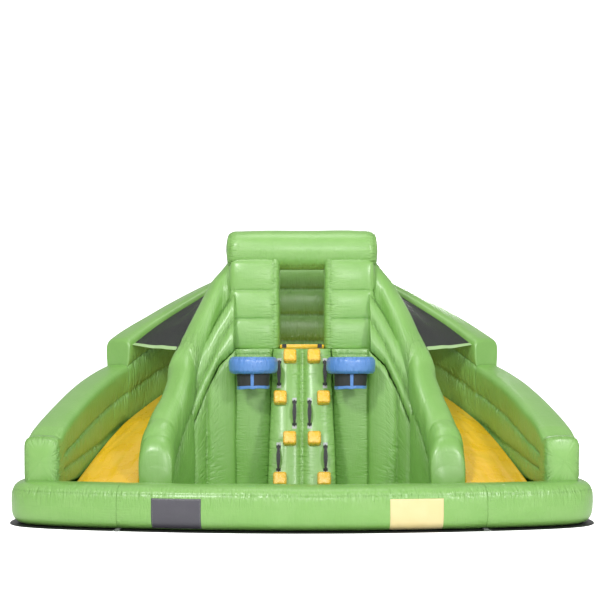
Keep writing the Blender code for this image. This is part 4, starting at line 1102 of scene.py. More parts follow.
@dataclass
class BasePool(Part):
    """The ground sheet, the pool's floor and the ring of base tubes.

    Attributes:
        corner_start: Share of the half outline where the front tube ends.
        corner_end: Share where a corner ends.
        back_start: Share where a side tube ends.
        seam_height: Height of the tubes' seams.
        front: The front tube's skin, once it is made.
        right: The right side tube's skin, once it is made.
    """

    corner_start: float = 0.243
    corner_end: float = 0.43
    back_start: float = 0.885
    seam_height: float = 0.36
    front: Skin | None = None
    right: Skin | None = None

    def tube(self, node: str, shares: Array, signs: Array, seed: int) -> Skin:
        """Make one base tube.

        Args:
            node: Its node.
            shares: Shares of the half outline.
            signs: For each share, the side's sign.
            seed: Which folds it has.

        Returns:
            Its skin.
        """
        line = inset(outline(), BASE_WIDTH / 2)
        path, run = at_shares(line, shares), runs_of(line, shares)
        run[shares < 0.002] = (1, 0)
        run[shares > 0.998] = (-1, 0)
        section = rounded_section(BASE_WIDTH, BASE_HEIGHT, BASE_SQUARENESS, BASE_POINTS)
        spot = path[:, None] + quarter_turn(run)[:, None] * section[None, :, :1]
        rings = place(signs[:, None], spot[..., 0], spot[..., 1], STAND + section[None, :, 1])
        seams = tuple(nearest(section[:, 1], self.seam_height, section[:, 0] * side < 0) for side in (1, -1))
        low = ramp(section[:, 1], 0.12)
        skin = Skin(rings, seams=seams, bands=(0, len(shares) - 1),
                    weight=fade(travel(rings.mean(axis=1)), 0.05)[:, None] * low[None])
        puff = Puff(reach=0.075, pitch=0.036, sway=0.005, seed=seed, band=0.35)
        self.dresser.padded(node, skin, puff, fill=0.9)
        return skin

    def build(self) -> None:
        """Make all of the base."""
        front = np.linspace(-self.corner_start, self.corner_start, 320)
        self.front = self.tube("pool_front_wall", np.abs(front), np.where(front < 0, -1.0, 1.0), 3)
        back = np.linspace(self.back_start, 2 - self.back_start, 150)
        self.tube("back_base_tube", np.where(back > 1, 2 - back, back), np.where(back > 1, -1.0, 1.0), 5)
        for side in Side:
            corner = np.linspace(self.corner_start, self.corner_end, 150)
            flank = np.linspace(self.corner_end, self.back_start, 300)
            signs = np.full(300, side.sign)
            self.tube(f"pool_corner_{side.word}", corner, signs[:150], 8 + side.seed)
            self.right = self.tube(f"side_base_tube_{side.word}", flank, signs, 12 + side.seed)
        self.sheet("ground_sheet", -SHEET_MARGIN + 0.002, 0.0, SHEET_THICKNESS, GROUND, 0.0)
        self.sheet("pool_floor", BASE_WIDTH * 0.93, STAND, FLOOR_TOP, INNER_GREEN, 0.003)

    def sheet(self, node: str, distance: float, low: float, high: float, finish: Finish, fold: float) -> None:
        """Make a flat sheet with the base's outline.

        Args:
            node: The node that it stands for.
            distance: How far inside the outline it ends.
            low: Its underside.
            high: Its top.
            finish: Its finish.
            fold: Height of its slow folds.
        """
        half = inset(outline(), distance)
        half = half[np.linspace(0, len(half) - 1, 140).astype(int)]
        backs, outs = np.maximum.accumulate(half[:, 1]), np.maximum(half[:, 0], 0.01)
        share = np.linspace(-1, 1, 80)
        x = outs[:, None] * share[None]
        y = np.broadcast_to(backs[:, None], x.shape)
        lift = fold * (1 + noise(x / 0.35, y / 0.35, 31)) / 2
        top = place(1.0, x, y, high + lift)
        bottom = place(1.0, x, y, low + 0 * lift)
        skin = Skin(joined(top, bottom[:, ::-1], axis=1))
        piece = self.dresser.skin(f"{node}_cloth", skin, finish, node)


@dataclass(frozen=True)
class Nose:
    """How a wall's front end is rounded.

    Attributes:
        reach: How far the rounding starts and ends from the wall's start.
        start: The first ring's size.
        power: How square the rounding is.
        dome: Height of the end's dome.
    """

    reach: tuple[float, float]
    start: float
    power: float
    dome: float = 0.03


@dataclass
class Walls(Part):
    """The outer wall of one side's chute and the wing inside it."""

    side: Side

    def stood(self, line: Array, shares: Array, sections: Array, shifts: Array | float = 0.0) -> Array:
        """Stand sections on a line.

        Args:
            line: The wall's middle line.
            shares: Shares of the line's length.
            sections: For each share, rows of reach and height.
            shifts: How far each section is moved along the line.

        Returns:
            The rings.
        """
        run = runs_of(line, shares)
        path = at_shares(line, shares) + run * np.reshape(shifts, (-1, 1))
        if shares[-1] >= 1:
            run[-1] = (-1, 0)
        spot = path[:, None] + quarter_turn(run)[:, None] * sections[..., :1]
        return place(self.side.sign, spot[..., 0], spot[..., 1], sections[..., 1])

    def closed(self, line: Array, share: float, rings: Array, dome: float) -> Array:
        """Close the front of a wall's rings at a share of its line."""
        run = runs_of(line, np.array([share]))[0]
        ahead = place(self.side.sign, -run[0], -run[1] + DEPTH / 2, 0.0)
        return joined(lid_rings(rings[0], ahead, dome)[::-1], rings)

    def with_nose(self, line: Array, section: Array, middle: float, nose: Nose, body: Array) -> Array:
        """Round a wall's front end.

        Args:
            line: The wall's middle line.
            section: The wall's section at its start.
            middle: Height that the section shrinks towards.
            nose: The rounding.
            body: The rings of the rest of the wall.

        Returns:
            The closing rings, those of the rounding and the rest.
        """
        t = np.linspace(0, 1, NOSE_ROWS + 1)[:-1]
        spread = nose.start + (1 - nose.start) * (1 - (1 - t) ** nose.power) ** (1 / nose.power)
        scaled = np.stack([section * (s, s) + (0, middle * (1 - s)) for s in spread])
        shifts = nose.reach[0] + (nose.reach[1] - nose.reach[0]) * t
        rings = self.stood(line, np.zeros(NOSE_ROWS), scaled, shifts)
        return joined(self.closed(line, 0.0, rings, nose.dome), body)

    def lower(self) -> None:
        """Make the lower section of an outer wall, with its smooth front end."""
        line = to_platform(WALL_PATH)
        shares = np.linspace(0, WALL_STEP, WALL_ROWS)
        tops = wall_top(shares, False)
        sections, columns = stacked_sections(WALL_HALF, WALL_FOOT, tops, WALL_CROWN, WALL_CHANNEL, power=3.4)
        smooth = ease(ramp(shares, 0.07))[:, None, None]
        sections = without_channels(sections, WALL_HALF, tops) * (1 - smooth) + sections * smooth
        body = self.stood(line, shares, sections, 0.05 * (1 - ramp(shares, 0.05)))
        nose = Nose((-0.056, 0.05), 0.86, 2.6)
        rings = self.with_nose(line, sections[0], (WALL_FOOT + tops[0]) / 2, nose, body)
        along = travel(rings.mean(axis=1))
        weight = np.where(np.arange(len(rings)) <= LID_ROWS, 0.35, ramp(along[-1] - along, 0.06))
        skin = Skin(rings, seams=columns, bands=(LID_ROWS + 1,), weight=weight[:, None],
                    sewn=ramp(along - along[FRONT_ROWS], 0.15)[:, None], lids=(LID_ROWS, 0))
        puff = Puff(reach=0.13, pitch=0.045, sway=0.006, seed=50 + self.side.seed)
        self.dresser.padded(f"outer_wall_lower_{self.side.word}", skin, puff)

    def upper(self) -> None:
        """Make the upper section of an outer wall, flush with the lower one."""
        line = to_platform(WALL_PATH)
        shares = np.linspace(WALL_STEP, 1, WALL_ROWS)
        past = shares - WALL_STEP
        pitches = 0.32 + 0.02 * ramp(past, 0.2)
        tops, steps = wall_top(shares, True), 24
        sections, columns = stacked_sections(WALL_HALF, WALL_FOOT, tops, WALL_CROWN, pitches, steps=steps,
                                             power=3.4)
        outs, ups = sections[..., 0], sections[..., 1]
        last = stacked_section(WALL_HALF, WALL_FOOT, 1.62, WALL_CROWN, WALL_CHANNEL, 3, steps=steps)[0]
        flank = last[:3 * steps]
        reach = np.interp(ups, flank[:, 1], flank[:, 0])
        below = ramp(1.4 - ups, 0.1) * np.clip(1 - past / 0.06, 0, 1)[:, None]
        outs[:] = np.sign(outs) * (np.abs(outs) * (1 - below) + reach * below)
        size = 0.9 + 0.1 * semi(ramp(past, 0.012) / 2)
        high = ramp(ups - 1.56, 0.1)
        outs *= 1 - (1 - size)[:, None] * high
        ups -= (1 - size)[:, None] * high * 0.3
        body = self.stood(line, shares, sections, np.where(past < 0.02, 0.0008, 0))
        rings = self.closed(line, WALL_STEP, body, 0.0)
        along = travel(rings.mean(axis=1))
        behind = along - along[LID_ROWS]
        extra = (8, 16)
        seams = (*columns, *extra, *(rings.shape[1] - 1 - k for k in extra))
        skin = Skin(rings, seams=seams, weight=(ramp(behind, 0.05) * ramp(along[-1] - along, 0.05))[:, None],
                    sewn=ramp(behind, 0.1)[:, None], lids=(LID_ROWS, 0))
        puff = Puff(reach=0.13, pitch=0.045, sway=0.006, seed=40 + self.side.seed)
        self.dresser.padded(f"outer_wall_upper_{self.side.word}", skin, puff)

    def wing(self) -> None:
        """Make a wing."""
        line = to_platform(WING_PATH)
        shares = np.linspace(0, 1, 250)
        halves, tops = wing_half(shares), wing_top(shares)
        sections, columns = stacked_sections(halves, INSIDE_STAND, tops, 0.3, WING_CHANNEL, 2, steps=20,
                                             cap_steps=40, power=2.6)
        body = self.stood(line, shares, sections, 0.02 * (1 - ramp(shares, 0.05)))
        nose = Nose((-0.12, 0.02), 0.9, 2.4)
        rings = self.with_nose(line, sections[0], INSIDE_STAND, nose, body)
        along = travel(rings.mean(axis=1))
        rise = semi(ramp(along - along[LID_ROWS], 0.34) / 2)[:, None]
        rings[..., 2] = INSIDE_STAND + (rings[..., 2] - INSIDE_STAND) * (0.66 + 0.34 * rise)
        weight = np.where(np.arange(len(rings)) <= LID_ROWS, 0.4, ramp(along[-1] - along, 0.05))
        skin = Skin(rings, seams=columns, bands=(FRONT_ROWS + nearest(shares, 0.55),), weight=weight[:, None],
                    sewn=ramp(along - along[FRONT_ROWS], 0.15)[:, None], lids=(LID_ROWS, 0))
        puff = Puff(fold=0.01, reach=0.15, pitch=0.045, sway=0.008, seed=63 + self.side.seed)
        self.dresser.padded(f"wing_wall_{self.side.word}", skin, puff)

    def build(self) -> None:
        """Make the side's outer wall and its wing."""
        self.lower()
        self.upper()
        self.wing()


def without_channels(sections: Array, half: float, tops: Array) -> Array:
    """Give a wall's sections with flat sides.

    Args:
        sections: Stacked sections.
        half: Half the thickness.
        tops: Their heights.

    Returns:
        The smooth sections.
    """
    under = sections[..., 1] < tops[:, None] - WALL_CROWN
    foot = np.clip((sections[..., 1] - WALL_FOOT) / 0.12, 0, 1)
    side = np.sign(sections[..., 0]) * half * (0.97 + 0.03 * foot)
    return np.stack([np.where(under, side, sections[..., 0]), sections[..., 1]], axis=-1)


def panel_rows(shares: Array) -> tuple[Array, Array]:
    """Read the front panel's table.

    Args:
        shares: Shares of the panel, from the pillar to the wing.

    Returns:
        Plan points, and rows of the three seam heights.
    """
    table = np.asarray(PANELS, float)
    table[0, 0] = 0.766 / HALF_WIDTH
    spots = np.linspace(0, 1, len(table))
    read = np.stack([np.interp(shares, spots, table[:, k]) for k in range(5)], axis=-1)
    return read[:, :2] * (HALF_WIDTH, DEPTH), read[:, 2:] * HEIGHT


@dataclass
class FrontPanels(Part):
    """The upright channels and slanting tubes between a hoop pillar and a wing.

    Attributes:
        side: The side.
        channels: Shares across a bay where its channels meet.
        steps: Rows of one channel.
        bay_columns: Points up a bay's front.
        tube_steps: Points over one slanting tube.
    """

    side: Side
    channels: tuple = (0.0, 0.34, 0.62, 0.84, 1.0)
    steps: int = 20
    bay_columns: int = 170
    tube_steps: int = 22

    def bay(self) -> None:
        """Make the upright channels."""
        spans = list(zip(self.channels, self.channels[1:]))
        f = np.arange(self.steps) / self.steps
        shares = joined(*(start + (end - start) * f for start, end in spans), [1.0])
        bulge = np.append(np.tile(semi(f, 0.72), len(spans)), 0.0)
        spots, tops = panel_rows(shares)
        level = unit(np.gradient(spots, axis=0))[:, 0]
        top = tops[:, :1]
        ups = INSIDE_STAND + (top - INSIDE_STAND) * np.linspace(0, 1, self.bay_columns)
        front = spots[:, 1:] - 0.05 * (level * bulge)[:, None] * ramp(top - ups, 0.1) ** 0.5
        face = place(self.side.sign, spots[:, :1], front, ups)
        rear = place(self.side.sign, spots[:, :1], spots[:, 1:] + 0.3, ups)
        rings = joined(face, rear[:, ::-10], axis=1)
        weight = joined(np.ones(self.bay_columns), np.zeros(self.bay_columns // 10))[None]
        skin = Skin(rings, seams=(self.bay_columns - 1,), weight=weight,
                    bands=tuple(self.steps * k for k in range(1, len(spans))))
        puff = Puff(reach=0.12, pitch=0.032, sway=0.005, seed=71 + self.side.seed)
        self.dresser.padded(f"bay_wall_{self.side.word}", skin, puff)

    def tubes(self) -> None:
        """Make the two slanting tubes."""
        spots, heights = panel_rows(np.linspace(0.02, 1, 200))
        low, middle, high = (heights[:, k:k + 1] for k in range(3))
        face = spots[:, 1:]
        ups, backs = [], []
        f = np.arange(self.tube_steps) / self.tube_steps
        for bottom, top, rounded in ((low, middle, f > 0.5), (middle, high, True)):
            up = bottom + (top - bottom) * f
            full = np.where(rounded, 0.5 + 0.5 * semi(f, 0.8), semi(f, 0.8))
            ups.append(up)
            backs.append(face + 0.22 * (up - low) - 0.06 * np.minimum(1.0, (top - bottom) / 0.11) * full)
        ups = joined(*ups, high, high + 0.09, low, axis=1)
        backs = joined(*backs, face + 0.22 * (high - low), face + 0.31, face + 0.31, axis=1)
        count = 2 * self.tube_steps
        weight = joined(np.ones(count + 1), np.zeros(2))[None]
        rings = place(self.side.sign, spots[:, :1], backs, ups)
        skin = Skin(rings, seams=(0, self.tube_steps, count), weight=weight)
        self.dresser.padded(f"wing_tubes_{self.side.word}", skin, Puff(pitch=0.035, seed=83 + self.side.seed))

    def build(self) -> None:
        """Make the side's panels."""
        self.bay()
        self.tubes()


def plate(skin: Skin, rows: tuple[float, float], columns: tuple[float, float], counts: tuple[int, int],
          low: float, high: float) -> Skin:
    """Lay a thin plate on a skin.

    Args:
        skin: The skin that it lies on.
        rows: First and last place along.
        columns: First and last place round.
        counts: Points along and round.
        low: Height of its underside over the skin.
        high: Height of its top over the skin.

    Returns:
        The plate's own skin.
    """
    i, j = np.meshgrid(np.linspace(*rows, counts[0]), np.linspace(*columns, counts[1]), indexing="ij")
    top, bottom = skin.read(i, j, high), skin.read(i, j, low)
    return Skin(joined(top, bottom[:, ::-1], axis=1))


def climb_half(up: Array) -> Array:
    """Give half the climbing wall's width at a height."""
    return 0.39 - 0.055 * up / PLATFORM_TOP


def climb_crown(share: Array) -> Array:
    """Give how far the climbing wall's channel stands back, from its edge to its groove."""
    return 0.035 * (1 - share) ** 4 - 0.035 * np.sin(math.pi * share) ** 0.7


def climb_front(up: Array) -> Array:
    """Give how far back the climbing wall's front lies at a height."""
    return CLIMB_FRONT + CLIMB_LEAN * up / PLATFORM_TOP


def pillar_dome(share: Array) -> Array:
    """Give how far back a hoop pillar's front lies at shares across it."""
    return PILLAR_FRONT + PILLAR_DOME * (1 - np.sin(math.pi * share) ** 0.6)


def pillar_face(out: Array) -> Array:
    """Give how far back a hoop pillar's front lies at a distance from the middle."""
    return pillar_dome(ramp(out - PILLAR_INNER, PILLAR_OUTER - PILLAR_INNER))


@dataclass
class MiddleBlock(Part):
    """The climbing wall, the hoop pillars, the platform's core and its mat.

    Attributes:
        back: How far back the climbing wall's flanks end.
        pillar_rows: Rows of a pillar under its rounded top edge.
        pillar_edge: Height of that edge.
        mat_half: Half the mat's width between the towers.
        mat_step: Where the mat grows wide behind the towers.
        mat_back: Where the mat ends.
        wall: The climbing wall's skin, once it is made.
    """

    back: float = 2.25
    pillar_rows: int = 170
    pillar_edge: float = 0.08
    mat_half: float = 0.2555
    mat_step: float = 2.5015
    mat_back: float = 3.4335
    wall: Skin | None = None

    def climbing_wall(self) -> None:
        """Make the leaning wall with its two broad channels."""
        ups = np.linspace(INSIDE_STAND, CHAMBER_TOP, CLIMB_ROWS)
        share = np.append(np.linspace(0, 1, CLIMB_COLUMNS + 1), 1.0)
        edge = climb_crown(share) + 0.016 * share ** 12
        half = climb_half(ups)[:, None]
        out = half + (GROOVE_HALF - half) * share[None]
        out[:, -1] = 0.0
        front = climb_front(ups)[:, None] + edge[None]
        corner = climb_front(ups)[:, None] + 0.05
        flank = corner + (self.back - corner) * np.linspace(1, 0, FLANK_COLUMNS + 1)[None, :-1]
        out = joined(np.broadcast_to(half, flank.shape), out, axis=1)
        back = joined(flank, front, axis=1)
        right = place(1.0, out, back, ups[:, None])
        rings = joined(right, right[:, -2::-1] * (-1, 1, 1), axis=1)
        first, count = FLANK_COLUMNS, rings.shape[1]
        weight = np.ones(count)
        weight[:first - 4] = weight[4 - first:] = 0
        calm = ramp(PLATFORM_TOP - ups, 0.05)[:, None] * weight[None]
        facets = np.linspace(0, 1, 7)
        for reach, middle in HANDLES:
            aside = np.abs(np.abs(rings[..., 0]) - reach) - 0.04
            beyond = np.abs(rings[..., 2] - middle) - 0.18
            away = ramp(np.maximum(aside, beyond), 0.05)
            calm = calm * away
            half = climb_half(middle)
            at = (half - reach) / (half - GROOVE_HALF)
            proud = np.interp(at, facets, climb_crown(facets)) - climb_crown(at)
            rings[..., 1] += (proud + HANDLE_DENT) * (1 - ease(away))
        skin = Skin(rings, seams=(first, first + CLIMB_COLUMNS + 1, count - first - 1), weight=calm)
        puff = Puff(fold=0.007, reach=0.07, sway=0.006, seed=91)
        self.dresser.padded("climbing_wall", skin, puff)
        self.wall = skin

    def spot(self, out: float, up: float) -> tuple[float, float]:
        """Find a grid place on the climbing wall.

        Args:
            out: Distance to the right of the middle.
            up: Height over the ground.

        Returns:
            The row and the column.
        """
        row = (up - INSIDE_STAND) / (CHAMBER_TOP - INSIDE_STAND) * (CLIMB_ROWS - 1)
        half = climb_half(up)
        column = FLANK_COLUMNS + CLIMB_COLUMNS * (half - abs(out)) / (half - GROOVE_HALF)
        return row, column if out > 0 else self.wall.points.shape[1] - 1 - column

    def pillar(self, side: Side) -> None:
        """Make one hoop pillar, rounded over its top edge.

        Args:
            side: The side.
        """
        rise, turn = np.linspace(0, 1, self.pillar_rows), math.pi / 2 * np.linspace(0.06, 1, 14)
        edge = self.pillar_edge
        ups = joined(INSIDE_STAND + (CHAMBER_TOP - edge - INSIDE_STAND) * rise,
                     CHAMBER_TOP - edge * (1 - np.sin(turn)))
        crown = joined(0 * rise, 1 - np.cos(turn))
        share = np.linspace(0, 1, PILLAR_COLUMNS)[None]
        start = (climb_half(ups) + 0.0025)[:, None]
        out = np.pad(start + (PILLAR_OUTER - start) * share, ((0, 0), (6, 6)), mode="edge")
        flank = np.broadcast_to(np.linspace(2.24, 2.0, 6), (len(ups), 6))
        back = joined(flank, pillar_dome(share) + 0.012 * crown[:, None], flank[:, ::-1], axis=1)
        weight = np.pad(np.ones(PILLAR_COLUMNS), 6)
        skin = Skin(place(side.sign, out, back, ups[:, None]), seams=(6, PILLAR_COLUMNS + 5),
                    bands=(self.pillar_rows + 1,), weight=weight[None])
        puff = Puff(fold=0.008, reach=0.06, sway=0.006, seed=101 + side.seed)
        self.dresser.padded(f"hoop_pillar_{side.word}", skin, puff)

    def core(self) -> None:
        """Make the platform's core, notched over the back base tube."""
        low, top, front, back, notch = INSIDE_STAND, CHAMBER_TOP, 2.252, 3.434, 3.37
        corners = np.array([(front, low), (front, top), (back, top), (back, 0.46), (notch, 0.44),
                            (notch, low)])
        walk = joined(*(np.linspace(a, b, 24)[:-1] for a, b in zip(corners, np.roll(corners, -1, 0))))
        outs = np.linspace(-PLATFORM_HALF, PLATFORM_HALF, 70)
        rings = place(1.0, outs[:, None], walk[None, :, 0], walk[None, :, 1])
        middle = np.array([(front + back) / 2 - DEPTH / 2, 0.9])
        rings[..., 1:] = middle + (rings[..., 1:] - middle) * 0.999
        puff = Puff(crease=0.004, width=0.01, fold=0.002, pitch=0.07, sway=0.0, seed=111)
        self.dresser.padded("platform_core", Skin(rings, seams=(23, 46), weight=0.3), puff, INNER_GREEN)

    def mat(self) -> None:
        """Make the yellow mat, narrow between the towers and wide behind them."""
        step = self.mat_step
        backs = joined(MAT_FRONT + 0.5 * np.linspace(0, 1, 50), np.linspace(step, step + 0.02, 4),
                       np.linspace(step + 0.04, self.mat_back, 60))
        wide = np.where(backs < step, self.mat_half - 0.001, PLATFORM_HALF - 0.001)
        section = rounded_section(2.0, MAT_THICKNESS, 8.0, 96)
        rings = place(1.0, wide[:, None] * section[None, :, 0], backs[:, None],
                      PLATFORM_TOP + MAT_STAND + section[None, :, 1])
        skin = Skin(rings, weight=ramp(section[:, 1] - 0.03, 0.02)[None])
        self.dresser.padded("platform_mat", skin, Puff(fold=0.0, sway=0.003, seed=121), YELLOW, 0.8)

    def build(self) -> None:
        """Make the block."""
        self.climbing_wall()
        self.core()
        self.mat()
        for side in Side:
            self.pillar(side)


def beam_underside(back: Array) -> Array:
    """Give the height of the beam's underside over a plan depth."""
    away = ramp(np.abs(back - BEAM_BACK), BEAM_RADIUS)
    return HEIGHT - BEAM_RADIUS - BEAM_RADIUS * (1 - away ** BEAM_POWER) ** (1 / BEAM_POWER)


@dataclass
class EntryFrame(Part):
    """The towers, the beam over them and the back wall.

    Attributes:
        seams: Heights of the towers' seams.
        tower_back: How far back the towers' middle lies.
        tower_half: Half a tower's depth.
        roll: Where a tower's inner roll ends, as a share of half its width.
        beam_half: Half the beam's length.
        wall_half: Half the back wall's thickness.
        wall_reach: Half the back wall's length.
    """

    seams: tuple = (2.15, 2.48)
    tower_back: float = 2.275
    tower_half: float = 0.225
    roll: float = 0.76
    beam_half: float = 0.885
    wall_half: float = 0.175
    wall_reach: float = 0.9305

    def tower(self, side: Side) -> None:
        """Make one tower, its seams only on the face beside the inner roll.

        Args:
            side: The side.
        """
        low = PLATFORM_TOP + 0.0005
        edges = (low, *self.seams, 2.82)
        ups = low + (2.85 - low) * np.linspace(0, 1, 130)
        bulge = np.zeros(len(ups))
        for start, end in zip(edges, edges[1:]):
            here = (ups >= start) & (ups <= end + 0.04)
            bulge[here] = semi(ramp(ups[here] - start, end - start))
        middle, half = (TOWER_INNER + PLATFORM_HALF) / 2, (PLATFORM_HALF - TOWER_INNER) / 2
        x, y, _ = squared(circle(112)[1].T, 5.5)
        roll = ramp(x + self.roll, 0.06)
        pull = 0.026 * (1 - bulge)[:, None] * roll[None]
        out = middle + x[None] * (half - pull * (np.abs(x) > 0.9))
        back = self.tower_back + y[None] * (self.tower_half - pull)
        rings = place(side.sign, out, back, np.minimum(ups[:, None], beam_underside(back) - 0.002))
        calm = fade(ups, 0.05)[:, None]
        skin = Skin(rings, seams=(nearest(x, -self.roll, y > 0),), weight=calm)
        away = np.min([np.abs(ups - ups[nearest(ups, seam)]) for seam in self.seams], axis=0)[:, None]
        near = np.exp(-(away / 0.008) ** 2) * roll[None]
        spread = puckers(out + back, away * np.ones_like(out), 0.045, 133 + side.seed)
        shift = 0.009 * spread * np.exp(-away / 0.08) * calm - 0.003 * near
        skin.points = rings + skin.outward()[0] * shift[..., None]
        puffed = skin.puff(Puff(fold=0.006, reach=0.07, seed=131 + side.seed))
        self.dresser.filled(f"tower_{side.word}", skin, GREEN, 0.85, np.maximum(near, puffed))

    def beam(self) -> None:
        """Make the beam with its domed ends."""
        half, count = self.beam_half, 120
        ends = half - np.array([0.0, 0.003, 0.012, 0.025, 0.045, 0.07, 0.1, 0.13])
        spread = np.array([0.55, 0.68, 0.8, 0.875, 0.935, 0.972, 0.993, 1.0])
        outs = joined(-ends, np.linspace(-half + 0.15, half - 0.15, 190), ends[::-1])
        sizes = joined(spread, np.ones(190), spread[::-1])
        section = rounded_section(2 * BEAM_RADIUS, 2 * BEAM_RADIUS, BEAM_POWER, count)
        rings = place(1.0, outs[:, None], BEAM_BACK + sizes[:, None] * section[None, :, 0],
                      HEIGHT - BEAM_RADIUS + sizes[:, None] * (section[None, :, 1] - BEAM_RADIUS))
        left, right = (lid_rings(rings[end], RIGHTWARD * way, 0.012) for end, way in ((0, -1), (-1, 1)))
        rings = joined(left[::-1], rings, right)
        places = rings[:, :, 0].mean(axis=1)
        bands = tuple(nearest(places, way * (half - 0.05)) for way in (-1, 1))
        front = nearest(section[:, 1], 0.03, section[:, 0] > 0)
        low = np.clip((section[:, 1] - 0.02) / 0.1, 0.25, 1)
        skin = Skin(rings, bands=bands, seams=(front, (3 * count // 2 - front) % count), weight=low[None],
                    lids=(LID_ROWS, LID_ROWS))
        self.dresser.padded("top_beam", skin, Puff(reach=0.08, pitch=0.045, sway=0.007, seed=151))

    def back_wall(self) -> None:
        """Make the back wall of stacked channels."""
        half, middle = self.wall_reach, DEPTH - SHEET_MARGIN - self.wall_half
        section, columns = stacked_section(self.wall_half, 0.445, 2.94, WALL_CROWN, WALL_CHANNEL, 7)
        ends = half - np.array([0.0, 0.004, 0.015])
        outs = joined(-ends, np.linspace(-half + 0.03, half - 0.03, 190), ends[::-1])
        size = np.ones(len(outs))
        size[:3], size[-3:] = (0.93, 0.965, 0.99), (0.99, 0.965, 0.93)
        rings = place(1.0, outs[:, None], middle + section[None, :, 0] * size[:, None], section[None, :, 1])
        skin = Skin(rings, seams=columns, weight=fade(outs, 0.05)[:, None])
        self.dresser.padded("back_wall", skin, Puff(pitch=0.045, seed=161))

    def build(self) -> None:
        """Make the frame."""
        for side in Side:
            self.tower(side)
        self.beam()
        self.back_wall()


def bed_edges(shares: Array) -> tuple[Array, Array, Array]:
    """Give a chute's edges and height.

    Args:
        shares: Shares of its length from the pool.

    Returns:
        Inner points, outer points and heights.
    """
    wing, wall = to_platform(WING_PATH), to_platform(WALL_PATH)
    outer_shares = 0.09 + 0.91 * shares
    inner_run, outer_run = runs_of(wing, shares), runs_of(wall, outer_shares)
    inner_run[-1] = outer_run[-1] = (-1, 0)
    inner = at_shares(wing, shares) + quarter_turn(inner_run) * (wing_half(shares) + 0.008)[:, None]
    outer = at_shares(wall, outer_shares) - quarter_turn(outer_run) * (WALL_HALF + 0.008)
    return inner, outer, 0.3 + (PLATFORM_TOP - 0.0003 - 0.3) * shares ** 1.12


def between(inner: Array, outer: Array, shares: Array) -> Array:
    """Give a row of points from each inner point to its outer point."""
    return inner[:, None] + (outer - inner)[:, None] * shares[None, :, None]


